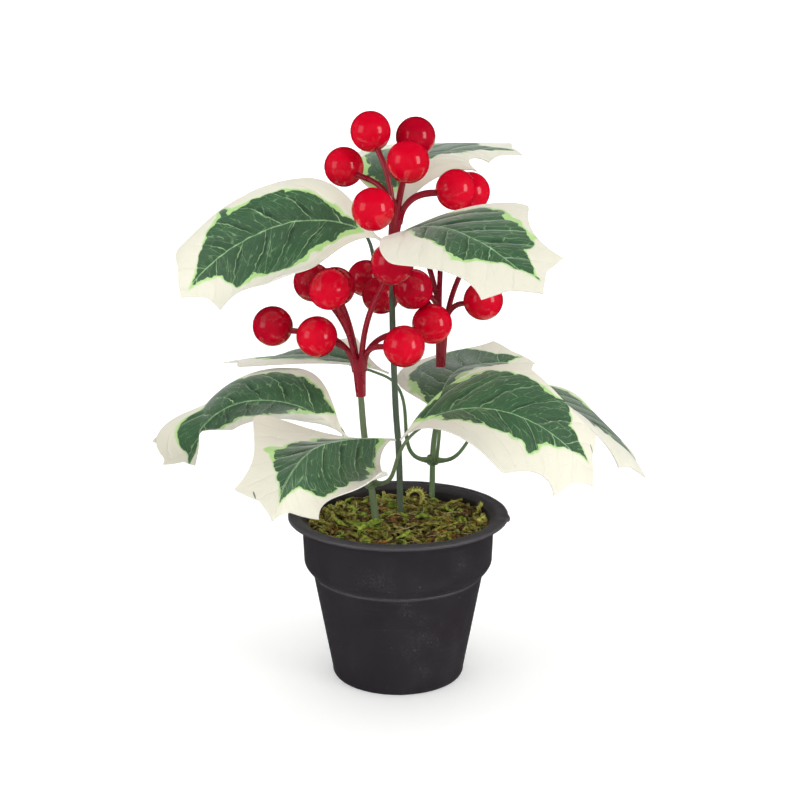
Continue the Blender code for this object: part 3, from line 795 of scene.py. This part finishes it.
leafCut = {
    "length": 90.0, "shoulder": (48.0, 33.0), "lobe": (80.0, 19.0), "notch": (82.5, 8.5),
    "swell": 0.9, "scallop": 6.5, "baseHalf": 0.6, "curlReach": 28.0, "foldReach": 8.0,
    "thickness": 0.5, "rounding": 1.6, "columns": 34, "rows": (60, 42, 4, 11),
    "pleat": 0.32, "pleatPitch": 11.5, "pinch": 0.6,
    "sweep": 0.80, "sweepMore": 0.008,         # how the side veins lean towards the tip
    "flecked": ("low_right", "low_front"),     # leaves with a stray dark fleck beside the tip
}

# half the printed centre's width at places along the leaf, on its left and on its right
printLeft = {
    8: 0, 12: 2.5, 17: 5.5, 20: 9, 24: 13, 28: 13.5, 33: 18, 39: 20, 44: 20.5, 50: 19.5, 55: 18.5,
    60: 16.5, 68: 16, 70.5: 11, 72.5: 6, 78: 3, 86: 0,
}
printRight = {
    8: 0, 12: 2, 17: 4.5, 20: 7, 24: 9.5, 28: 12, 33: 14, 50: 15, 55: 16.5, 60: 20, 62: 16, 66: 12,
    68: 10, 72.5: 6.5, 78: 3, 86: 0,
}

printMake = {
    "teeth": 4.6, "smallTeeth": 1.0,         # how deep the printed edge is toothed
    # the light border in millimetres: least and most on the narrow side; most, middle and least
    "narrowBand": (0.30, 1.4), "wideBand": (3.2, 1.6, 0.6),
    "fleckPlace": (80.5, 11.0), "weave": 14.0,
}
printColours = {
    "darkGreen": ((0.018, 0.070, 0.024), (0.045, 0.130, 0.050)), "speck": (0.085, 0.18, 0.090),
    # crease is painted shade, for the creases beside the side veins
    "crease": (0.006, 0.032, 0.012), "vein": (0.40, 0.67, 0.30),
    "lightGreen": ((0.31, 0.57, 0.14), (0.50, 0.74, 0.31)),
    "cream": ((0.690, 0.666, 0.545), (0.750, 0.732, 0.610)),
    "fleck": (0.05, 0.10, 0.05), "bare": (0.60, 0.61, 0.52),      # bare is the cloth's underside
    "rim": ((0.52, 0.50, 0.42), (0.78, 0.76, 0.68)),
}

# for each leaf: its stem, and base in millimetres; the direction it sets out in and how far that
# swings round; the lift at its base and the droop of its near and far halves; its roll, and how
# much more that is at the tip; for each side, how it stands off the midrib and how far it curls;
# the fold across low_left; and where the arm lies under the midrib. All angles are in degrees.
# wide is the side with the broad light border, 1 for left and -1 for right. drift is how far the
# print lies off the cut, along and to the left.
leaves = {
    "top_left": {
        "stem": "centre", "base": (-6, -8, 180), "azimuth": 192, "swing": -22, "lift": 35,
        "near": 56, "far": 33, "roll": -62, "twist": -15, "left": (-15, -80), "leftTip": (-15, -90),
        "right": (22, 95), "rightTip": (18, 120), "rib": (12, 30), "wide": 1, "drift": (0, 0.5),
    },
    "top_right": {
        "stem": "centre", "base": (-4, -5, 179), "azimuth": -58, "swing": 15, "lift": 30,
        "near": 40, "far": 28, "roll": 15, "twist": 5, "left": (5, 10), "leftTip": (-5, 0),
        "right": (5, -20), "rightTip": (-10, 0), "rib": (12, 30), "wide": 1, "drift": (-1, 3),
    },
    "top_back": {
        "stem": "centre", "base": (1, 15, 184), "azimuth": 115, "swing": -150, "lift": 65,
        "near": 55, "far": 20, "roll": -5, "twist": 10, "left": (5, 0), "right": (15, 30),
        "rightTip": (0, 30), "rib": (8, 26), "wide": 1, "drift": (0, 4),
    },
    "low_front": {
        "stem": "left", "base": (-1, -9, 101.5), "azimuth": 230, "swing": 20, "lift": 15,
        "near": 10, "far": 60, "roll": -20, "twist": -10, "left": (-50, -110),
        "leftTip": (-70, -125), "right": (-36, -50), "rightTip": (-50, -55), "rib": (20, 36),
        "wide": -1, "drift": (-1, 1),
    },
    "low_left": {
        "stem": "left", "base": (-20, -14, 103.5), "azimuth": 155, "swing": 15, "lift": 40,
        "near": 50, "far": 70, "roll": -20, "twist": -15, "left": (-115, 20), "right": (35, 75),
        "rightTip": (-5, 25), "fold": 50, "turn": 130, "foldAt": 70, "rib": (8, 26), "wide": 1,
        "drift": (1, -4.5),
    },
    "low_right": {
        "stem": "left", "base": (1, -31, 107), "azimuth": -20, "swing": 30, "lift": 50,
        "near": 65, "far": 52, "roll": 15, "twist": 30, "left": (20, 50), "leftTip": (-5, 0),
        "right": (5, -55), "rightTip": (-10, 25), "rib": (9, 30), "wide": 1, "drift": (-3, 4),
    },
    "mid_right": {
        "stem": "right", "base": (16, -9, 109), "azimuth": 88, "swing": -60, "lift": 40,
        "near": 43, "far": 5, "roll": -30, "twist": 65, "left": (0, 20), "right": (10, 20),
        "rib": (6, 26), "wide": -1, "drift": (-1, 3.5),
    },
    "far_right": {
        "stem": "right", "base": (30, 24.5, 95.5), "azimuth": 0, "swing": -30, "lift": 58,
        "near": 80, "far": 30, "roll": -10, "twist": -5, "left": (20, -10), "leftTip": (-5, 0),
        "right": (30, 0), "rightTip": (-10, 20), "rib": (6, 30), "wide": 1, "drift": (0, 9.5),
    },
    "mid_left": {
        "stem": "right", "base": (-4, 26, 121), "azimuth": 166, "swing": -58, "lift": 20,
        "near": 30, "far": 10, "roll": 10, "twist": 0, "left": (-3, 13), "right": (27, 20),
        "rib": (2, 50), "wide": 1, "drift": (-2, 1),
    },
}


def rawHalfWidth(along):
    shoulder, lobe, notch = leafCut["shoulder"], leafCut["lobe"], leafCut["notch"]
    if along <= shoulder[0]:
        share = max(along / shoulder[0], 0.0) ** leafCut["swell"]
        return max(shoulder[1] * (3 * share**2 - 2 * share**3), leafCut["baseHalf"])
    if along <= lobe[0]:
        share = (along - shoulder[0]) / (lobe[0] - shoulder[0])
        return shoulder[1] + (lobe[1] - shoulder[1]) * share - 4 * leafCut["scallop"] * share * (1 - share)
    if along <= notch[0]:
        share = (along - lobe[0]) / (notch[0] - lobe[0])
        return lobe[1] + (notch[1] - lobe[1]) * share
    share = (leafCut["length"] - along) / (leafCut["length"] - notch[0])
    return max(notch[1] * share, leafCut["baseHalf"])


def halfWidth(along):
    # the corner at the leaf's widest place is a little round
    if not -4 < along - leafCut["shoulder"][0] < 6:
        return rawHalfWidth(along)
    return sum(rawHalfWidth(along + leafCut["rounding"] * k / 3) for k in range(-3, 4)) / 7


def leafSpine(leaf):
    steps = 60
    stride = leafCut["length"] / steps
    place = Vector(leaf["base"])
    before = None
    spine = []
    for step in range(steps + 1):
        share = step / steps
        past = (share * leafCut["length"] - leaf.get("foldAt", 0)) / leafCut["foldReach"]
        folded = min(max(past, 0.0), 1.0)
        droop = leaf["near"] * min(share, 0.5) * 2 + leaf["far"] * max(share - 0.5, 0.0) * 2
        pitch = math.radians(leaf["lift"] - droop - leaf.get("fold", 0) * folded)
        heading = math.radians(leaf["azimuth"] + leaf["swing"] * share + leaf.get("turn", 0) * folded)
        roll = math.radians(leaf["roll"] + leaf["twist"] * share)
        forward = polar(1, heading) * math.cos(pitch) + Vector((0.0, 0.0, math.sin(pitch)))
        side = Vector((-math.sin(heading), math.cos(heading), 0.0))
        crown = forward.cross(side)
        left = side * math.cos(roll) + crown * math.sin(roll)
        up = crown * math.cos(roll) - side * math.sin(roll)
        if before is not None:
            place = place + (before + forward) / 2 * stride
        before = forward
        spine.append((place, forward, left, up))
    return spine


def spineAt(spine, along):
    stride = leafCut["length"] / (len(spine) - 1)
    index = min(int(along / stride), len(spine) - 2)
    share = along / stride - index
    return [a.lerp(b, share) for a, b in zip(spine[index], spine[index + 1])]


def sideBend(leaf, side, along):
    share = along / leafCut["length"]
    ends = zip(leaf[side], leaf.get(side + "Tip", leaf[side]))
    return [math.radians(base + (tip - base) * share) for base, tip in ends]


def leafPoint(leaf, spine, along, across):
    # a point of the bent leaf in millimetres, and the way out of its upper face there
    place, forward, left, up = spineAt(spine, along)
    start, curl = sideBend(leaf, "left" if across >= 0 else "right", along)
    rate = (curl if abs(curl) > 0.0002 else 0.0002) / leafCut["curlReach"]
    end = start - rate * abs(across)
    sign = 1 if across >= 0 else -1
    out = (math.sin(start) - math.sin(end)) / rate
    rise = (math.cos(end) - math.cos(start)) / rate
    outward = (up * math.cos(end) - left * sign * math.sin(end)).normalized()
    return place + left * sign * out + up * rise, outward


def veinSweep(width):
    # how far a side vein has swept towards the tip, at a distance from the midrib
    return width * leafCut["sweep"] + width * width * leafCut["sweepMore"]


def veinPhase(along, across):
    # a side vein runs where the fraction of this is a half
    side = 0.5 if across > 0 else 0.0
    return (along - veinSweep(abs(across))) / leafCut["pleatPitch"] + side


def pleat(along, across, seed):
    # height of the pressed relief: a valley on each side vein and on the midrib
    phase = veinPhase(along, across)
    gap = abs((phase % 1.0) - 0.5) * 2
    height = leafCut["pleat"] * (min(gap * 1.6, 1.0) - 0.6)
    width = max(halfWidth(along), 1.0)
    fade = between(abs(across) / width, (0.0, 0.08, 0.6, 0.95), (0.1, 1.0, 0.9, 0.0))
    fade *= between(along, (0, 10, 72, 84), (0.0, 1.0, 1.0, 0.1))
    rib = -0.35 * math.exp(-(across / 1.1) ** 2) * between(along, (4, 14, 80, 88), (0, 1, 0.7, 0))
    # a sharp crease beside some of the veins, deepest near the midrib
    vein = math.floor(phase) + (50 if across > 0 else 0)
    deep = max(noise.noise(Vector((vein * 3.7, seed * 5.3, 0.4))) * 2.2 + 0.35, 0.0)
    crease = ((phase + 0.05) % 1.0 - 0.5) * leafCut["pleatPitch"]
    reach = between(abs(across), (0.5, 3.0, 8.0, 14.0), (0.0, 1.0, 0.7, 0.0))
    reach *= between(along, (12, 26, 58, 74), (0.2, 1.0, 1.0, 0.1))
    pinch = -leafCut["pinch"] * deep * reach * math.exp(-(crease / 0.8) ** 2)
    return height * fade + rib + pinch


def printDepth(along, across):
    # how far inside the printed centre a place is, in millimetres
    outline = list((printLeft if across >= 0 else printRight).items())
    across = abs(across)
    nearest = 99.0
    for (a, b), (c, d) in zip(outline, outline[1:]):
        spanX, spanY = c - a, d - b
        share = ((along - a) * spanX + (across - b) * spanY) / (spanX * spanX + spanY * spanY)
        share = min(max(share, 0.0), 1.0)
        nearest = min(nearest, math.hypot(along - a - spanX * share, across - b - spanY * share))
    places = [place for place, half in outline]
    halves = [half for place, half in outline]
    inside = places[0] < along < places[-1] and across < between(along, places, halves)
    return nearest if inside else -nearest


def leafFinish(name, fade):
    # fade is how much of the print is lost on the cloth's underside
    finish = Finish(name, {"Specular IOR Level": 0.6, "Sheen Weight": 0.45, "Sheen Roughness": 0.35})
    grain, cells, mix = finish.grain, finish.cells, finish.mix
    along, across, depth = finish.parts(finish.attribute("leafPlace"))
    cloth = finish.attribute("leafGrain")                # the flat leaf, shifted for each leaf
    shift = finish.parts(cloth)[2]
    wide = finish.attribute("leafWide", "Fac")
    marked = finish.attribute("leafFleck", "Fac")

    # the print's edge has round teeth; a light border lies outside its dark centre
    teeth = (0.44 - cells(cloth, 0.17)) * printMake["teeth"]
    small = (0.44 - cells(cloth, 0.52)) * printMake["smallTeeth"]
    fine = grain(cloth, 1.1, 3.0, 0.6) - 0.5
    ends = along.step(12.0, 26.0) * along.step(66.0, 79.0, 1.0, 0.15)
    teeth = teeth * (ends * 0.8 + 0.2)
    outer = depth + teeth * 0.75 + fine * 0.8
    printed = outer.step(-0.75, 0.35)
    onWide = (across * wide).step(-0.5, 0.5)
    patch = grain(cloth, 0.075, 1.0)
    narrowest, narrow = printMake["narrowBand"]
    widest, wideMiddle, wideLeast = printMake["wideBand"]
    narrowBand = ((patch - 0.5) * 16.0).atLeast(narrowest).atMost(narrow)
    wideBand = ((patch - 0.5) * 10.0 + wideMiddle).atLeast(wideLeast).atMost(widest)
    band = (narrowBand + onWide * (wideBand - narrowBand)) * along.step(60.0, 74.0, 1.0, 0.12)
    dark = (depth + teeth + small + fine * 0.5 - band).step(-0.16, 0.16) * depth.step(-0.5, 0.0)

    # veins: midrib, side veins that sweep towards the tip, and a net drawn out along them
    width = abs(across)
    side = across.step(-0.01, 0.01) * 0.5
    wobble = (grain(cloth, 0.10, 2.0) - 0.5) * 5.0 + (grain(cloth, 0.33, 1.0) - 0.5) * 1.6
    phase = (along - veinSweep(width) + wobble) / leafCut["pleatPitch"] + side
    pitch = leafCut["pleatPitch"] * 0.88                 # about the distance between two veins
    veinGap = abs(phase.fraction() - 0.5) * pitch
    sideVein = (veinGap + width * 0.004).fall(0.05, 0.26)
    thinGap = abs((phase * 3.0 + wobble * 0.12).fraction() - 0.5)
    thinVein = thinGap.fall(0.03, 0.09) * width.step(1.0, 4.0)
    midrib = abs(across + (grain(cloth, 0.25, 1.0) - 0.5) * 0.8).fall(0.08, 0.32)
    drawnOut = {0: (along - width * 0.8) * 1.2 + wobble * 0.4, 1: across * 0.62, 2: shift}
    sheared = finish.node("ShaderNodeCombineXYZ", {}, drawnOut)
    netA = cells(sheared, 0.21, "DISTANCE_TO_EDGE").fall(0.010, 0.034)
    netB = cells(sheared, 0.40, "DISTANCE_TO_EDGE").fall(0.012, 0.045)
    broken = grain(cloth, 0.16, 2.0).step(0.42, 0.60)
    faint = grain(cloth, 0.5, 2.0).step(0.35, 0.62)
    veins = midrib * (faint * 0.35 + 0.36) + sideVein * (faint * 0.50 + 0.20)
    net = netA * (broken * 0.25 + 0.04) * (faint * 0.7 + 0.3) + netB * broken * 0.09
    veins = (veins + net + thinVein * grain(cloth, 0.28, 2.0).step(0.46, 0.66) * 0.36).atMost(0.85)

    # painted shade: the dark print is painted darker in the creases beside the side veins
    creaseGap = abs((phase + 0.07).fraction() - 0.5) * pitch
    crease = creaseGap.fall(0.15, 1.7) * width.step(1.0, 3.5) * width.fall(6.0, 15.0)
    crease = crease * along.step(14.0, 26.0) * along.fall(56.0, 74.0)

    cloud = grain(cloth, 0.09, 3.0, 0.6)
    speckle = grain(cloth, 2.6, 2.0, 0.6)
    darkGreen = mix(cloud, *printColours["darkGreen"])
    darkGreen = mix(speckle.step(0.42, 0.70) * 0.40, darkGreen, printColours["speck"])
    # painted shade in the creases
    darkGreen = mix(crease * 0.6, darkGreen, printColours["crease"])
    darkGreen = mix(veins, darkGreen, printColours["vein"])
    lightGreen = mix(cloud, *printColours["lightGreen"])
    cream = mix(grain(cloth, 0.05, 2.0), *printColours["cream"])
    colour = mix(printed, cream, mix(dark, lightGreen, darkGreen))

    # a stray fleck of the dark print in the notch beside the tip
    spotAlong, spotAcross = printMake["fleckPlace"]
    fleckAlong = (along - spotAlong) / 1.4
    fleckAcross = (across * wide - spotAcross + (along - spotAlong) * 0.7) / 0.40
    fleck = (fleckAlong * fleckAlong + fleckAcross * fleckAcross + fine * 1.2).fall(0.8, 1.1)
    colour = mix(fleck * marked * 0.85, colour, printColours["fleck"])
    finish.tones(fade, colour, printColours["bare"])
    finish.feed("Roughness", printed * -0.12 + 0.56 + speckle * 0.08)

    weave = (along * printMake["weave"]).sine() * (across * printMake["weave"]).sine()
    relief = weave * 0.06 + veinGap.step(0.0, 0.9) * 0.9 + grain(cloth, 0.4, 3.0) * 0.6
    finish.bump(relief + netA * -0.4, 0.00022, 0.7)
    return finish


def rimFinish():
    finish = Finish("leafRim", {"Roughness": 0.7})
    fray = finish.grain(finish.place(), 1200.0, 3.0)
    finish.tones(fray, *printColours["rim"])
    return finish


def leafStations():
    # places along the leaf, with one on each corner of its cut
    corners = (0.0, leafCut["shoulder"][0], leafCut["lobe"][0], leafCut["notch"][0], leafCut["length"])
    stations = []
    for start, end, count in zip(corners, corners[1:], leafCut["rows"]):
        stations += [start + (end - start) * step / count for step in range(count)]
    return [*stations, leafCut["length"]]


def flatLeaf(drift):
    # places of the flat leaf in rows: along, across and how far inside the print
    columns = leafCut["columns"]
    rows = []
    for along in leafStations():
        width = halfWidth(along)
        row = []
        for column in range(-columns, columns + 1):
            across = width * column / columns
            row.append((along, across, printDepth(along - drift[0], across - drift[1])))
        rows.append(row)
    return rows


def makeLeaf(name, finishes, seed):
    leaf = leaves[name]
    flatRows = flatLeaf(leaf["drift"])
    spine = leafSpine(leaf)
    last = 2 * leafCut["columns"]
    form = bmesh.new()
    place = form.verts.layers.float_vector.new("leafPlace")
    grain = form.verts.layers.float_vector.new("leafGrain")
    wide = form.verts.layers.float.new("leafWide")
    fleck = form.verts.layers.float.new("leafFleck")
    flat = form.loops.layers.uv.new("OFBake")
    sheets = []
    for sign in (1, -1):                     # upper face, then underside
        rows = []
        for flatRow in flatRows:
            row = []
            for along, across, depth in flatRow:
                spot, outward = leafPoint(leaf, spine, along, across)
                lift = pleat(along, across, seed) + sign * leafCut["thickness"] / 2
                vert = form.verts.new((spot + outward * lift) * mm)
                vert[place] = (along, across, depth)
                vert[grain] = (along + seed * 131, across + seed * 57, seed * 17)
                vert[wide] = leaf["wide"]
                vert[fleck] = 1.0 if name in leafCut["flecked"] else 0.0
                row.append(vert)
            rows.append(row)
        sheets.append(rows)
    upper, lower = sheets

    def addFace(verts, slot, shift):
        # the upper face fills the map's left half, the underside its right half
        face = form.faces.new(verts)
        face.material_index = slot
        for loop in face.loops:
            along, across, depth = loop.vert[place]
            loop[flat].uv = ((across + 35) / 142 + shift, along / 94 + 0.02)

    for row in range(len(upper) - 1):
        for column in range(last):
            square = ((row, column), (row + 1, column), (row + 1, column + 1), (row, column + 1))
            addFace([upper[r][c] for r, c in square], 0, 0.0)
            addFace([lower[r][c] for r, c in reversed(square)], 1, 0.5)
    # the rim joins the two faces, and lies along the map's top
    edge = [(row, 0) for row in range(len(upper))]
    edge += [(len(upper) - 1, column) for column in range(1, last + 1)]
    edge += [(row, last) for row in range(len(upper) - 2, -1, -1)]
    edge += [(0, column) for column in range(last - 1, 0, -1)]
    for index, ((r, c), (s, d)) in enumerate(zip(edge, edge[1:] + edge[:1])):
        face = form.faces.new((upper[r][c], lower[r][c], lower[s][d], upper[s][d]))
        face.material_index = 2
        start, end = (0.01 + 0.98 * (index + k) / len(edge) for k in (0.05, 0.95))
        for loop, spot in zip(face.loops, ((start, 0.99), (start, 0.995), (end, 0.995), (end, 0.99))):
            loop[flat].uv = spot
    newPiece(f"leafSheet_{name}", form, finishes, [f"leaf_{name}"], 50)


armMake = {
    "radius": 0.95, "taper": 0.5, "root": 0.2, "flare": 0.5, "flareReach": 3.0, "pull": 0.45,
    "clear": 0.75,                           # from the arm's side to the middle of the leaf's cloth
}


def ribPoint(leaf, spine, along):
    # midway between the leaf's two halves below its midrib
    spot, forward, left, up = spineAt(spine, along)
    bends = [sideBend(leaf, side, along)[0] for side in ("left", "right")]
    lean = (bends[0] - bends[1]) / 2
    halfOpening = (math.pi + min(sum(bends), 0.0)) / 2
    clear = (armMake["radius"] + armMake["clear"]) / math.sin(halfOpening)
    return (spot + (left * math.sin(lean) - up * math.cos(lean)) * clear) * mm, forward


def makeArm(name, finish):
    # a wire arm that flares into its collar like a moulded elbow
    leaf = leaves[name]
    spine = leafSpine(leaf)
    place, direction, radius = collarPlace(leaf["stem"])
    ribStart, ribEnd = leaf["rib"]
    rib = [ribPoint(leaf, spine, ribStart + (ribEnd - ribStart) * step / 8) for step in range(9)]
    end, heading = rib[0]
    outward = end - place
    outward -= direction * outward.dot(direction)
    outward.normalize()
    start = place + outward * (radius + armMake["root"] * mm)
    reach = (end - start).length
    pull = reach * armMake["pull"]
    route = bezier(start, start + outward * pull, end - heading * pull, end, 32)
    route += [spot for spot, forward in rib[1:]]
    last = len(route) - 1
    radii = []
    gone = 0.0
    for index, spot in enumerate(route):
        gone += (spot - route[max(index - 1, 0)]).length / mm
        flare = armMake["flare"] * math.exp(-(gone / armMake["flareReach"]) ** 2)
        radii.append((armMake["radius"] * (1 - armMake["taper"] * index / last) + flare) * mm)
    form = bmesh.new()
    tube(form, route, radii, 14)
    newPiece(f"leafArm_{name}", form, [finish], [f"arm_{name}"])


leafFinishes = [leafFinish("leafPrint", 0.0), leafFinish("leafBack", 0.55), rimFinish()]
for leafNumber, leafName in enumerate(leaves):
    makeLeaf(leafName, leafFinishes, leafNumber + 1)
    makeArm(leafName, stemFinishes[leaves[leafName]["stem"]])
print("leaves ready")


# berries

sprigs = {
    "left": [(-49.6, 0, 145.5), (-31.4, -12, 143.4), (-26, -19.4, 163), (-35, 22, 160),
             (-25, 9, 160), (2.3, -23, 141.6), (13.5, 0, 146.4), (-2, -36, 174.7)],
    "centre": [(-10.7, 9.5, 220.8), (7, 18, 218.6), (3.8, -22, 210.5), (-21.6, 19, 206.8),
               (-9, -30.5, 193.8), (22.5, 3, 198.8), (28.8, 16.5, 197)],
    "right": [(34.3, 10, 154.3), (29.5, 24, 171), (17.5, 33, 176), (10.5, 45, 172),
              (5.9, -1.8, 160.5), (-7.2, 34, 153), (-14, 50, 158)],
}
berryMake = {
    "radius": 8.0, "stalk": 1.12, "sleeveTop": 2.9, "sleeveFoot": 1.95, "flutes": 7,
    "round": 48, "up": 32, "dimple": 0.5, "dimpleWidth": 0.22, "seed": 5,
    # which berries take the darker red, a painted shade for those that sit in the shade under the leaves
    "deep": {"left": (0, 3, 4, 7), "centre": (1,), "right": (1, 2, 3, 4, 5, 6)},
}
berryColours = {
    # deep is a darker copy of the red, painted shade
    "red": ((0.54, 0.0, 0.014), (0.60, 0.0, 0.017)), "deep": ((0.37, 0.0, 0.013), (0.46, 0.0, 0.015)),
    "stalk": ((0.17, 0.0, 0.010), (0.33, 0.003, 0.020)),
}


def berryFinish(name, deep, bright):
    finish = Finish(name, {
        "Coat Weight": 1.0, "Coat IOR": 1.5, "Coat Roughness": 0.07, "Specular IOR Level": 0.1,
    })
    place = finish.place()
    cloud = finish.grain(place, 120.0, 2.0)
    finish.tones(cloud.step(0.3, 0.7), deep, bright)
    finish.feed("Roughness", cloud.step(0.3, 0.7, 0.22, 0.28))
    finish.bump(finish.grain(place, 260.0, 2.0), 0.00025, 0.12)
    return finish


def stalkFinish():
    finish = Finish("stalkRed", {"Coat Weight": 0.7, "Coat Roughness": 0.10, "Coat IOR": 1.55})
    place = finish.place()
    cloud = finish.grain(place, 150.0, 3.0)
    finish.tones(cloud, *berryColours["stalk"])
    finish.feed("Roughness", cloud.step(0.3, 0.7, 0.25, 0.38))
    finish.bump(finish.grain(place, 500.0, 2.0), 0.0002, 0.5)
    return finish


def addBerry(form, centre, way, slot, draw):
    # a ball, slightly out of round, with a dimple where its stalk enters
    matrix = way.to_track_quat("Z", "Y").to_matrix()
    size = berryMake["radius"] * draw.uniform(0.99, 1.0)
    seed = Vector((draw.uniform(0, 9), draw.uniform(0, 9), draw.uniform(0, 9)))
    rings = []
    for up in range(1, berryMake["up"]):
        down = math.pi * up / berryMake["up"]             # the angle from the top
        ring = []
        for angle in angles(berryMake["round"]):
            out = polar(math.sin(down), angle, math.cos(down))
            dent = berryMake["dimple"] * math.exp(-((math.pi - down) / berryMake["dimpleWidth"]) ** 2)
            reach = size * (1 + 0.006 * noise.noise(out * 1.6 + seed)) - dent
            ring.append(form.verts.new(centre + (matrix @ out) * reach * mm))
        rings.append(ring)
    poles = [
        form.verts.new(centre + (matrix @ Vector((0, 0, 1))) * size * mm),
        form.verts.new(centre - (matrix @ Vector((0, 0, 1))) * (size - berryMake["dimple"]) * mm),
    ]
    for step in range(berryMake["round"]):
        after = (step + 1) % berryMake["round"]
        faces = [form.faces.new((poles[0], rings[0][step], rings[0][after]))]
        faces.append(form.faces.new((poles[1], rings[-1][after], rings[-1][step])))
        for ring, below in zip(rings, rings[1:]):
            faces.append(form.faces.new((ring[step], below[step], below[after], ring[after])))
        for face in faces:
            face.material_index = slot


# how a stalk leaves the fork and comes to its berry, in shares of the way there
stalkMake = {"rise": 0.36, "spread": 0.10, "arch": -0.1}


def makeSprig(name, balls, stalkRed, draw):
    foot = inMm(stems[name]["route"][-1])
    fork = inMm(stems[name]["fork"])
    axis = (fork - foot).normalized()
    berryForm = bmesh.new()
    stalkForm = bmesh.new()
    length = (fork - foot).length
    sleeve = [foot + axis * length * step / 12 for step in range(13)]
    top, low = berryMake["sleeveTop"], berryMake["sleeveFoot"]
    radii = [(low + (top - low) * step / 12) * mm for step in range(13)]
    tube(stalkForm, sleeve, radii, 42, lobes=berryMake["flutes"], lobeDepth=0.12)
    for index, berry in enumerate(sprigs[name]):
        centre = inMm(berry)
        way = centre - fork
        outward = (way - axis * way.dot(axis)).normalized()
        start = fork - axis * 5 * mm + outward * 1.5 * mm
        reach = way.length
        handle = fork + axis * reach * stalkMake["rise"] + outward * reach * stalkMake["spread"]
        arrive = (way.normalized() + axis * stalkMake["arch"]).normalized()
        entry = centre - arrive * reach * stalkMake["rise"]
        inward = (centre - entry).normalized()
        stop = centre - inward * berryMake["radius"] * 0.6 * mm
        route = bezier(start, handle, entry, stop, 22)
        swell = [between(step / 22, (0, 0.15, 0.8, 1), (1.3, 1.0, 1.0, 1.2)) for step in range(23)]
        radii = [berryMake["stalk"] * mm * share for share in swell]
        tube(stalkForm, route, radii, 16)
        # berries in the shade under the leaves take the darker copy, painted shade
        addBerry(berryForm, centre, inward, index in berryMake["deep"][name], draw)
    newPiece(f"stalks_{name}", stalkForm, [stalkRed])
    newPiece(f"berrySpray_{name}", berryForm, balls, [f"berries_{name}"])


berryDraw = random.Random(berryMake["seed"])
ballFinishes = [
    berryFinish("berryRed", *berryColours["red"]),
    # the darker copy of the red paints shade on the berries under the leaves
    berryFinish("berryShaded", *berryColours["deep"]),
]
stalkRed = stalkFinish()
for sprigName in sprigs:
    makeSprig(sprigName, ballFinishes, stalkRed, berryDraw)
print("berries ready")
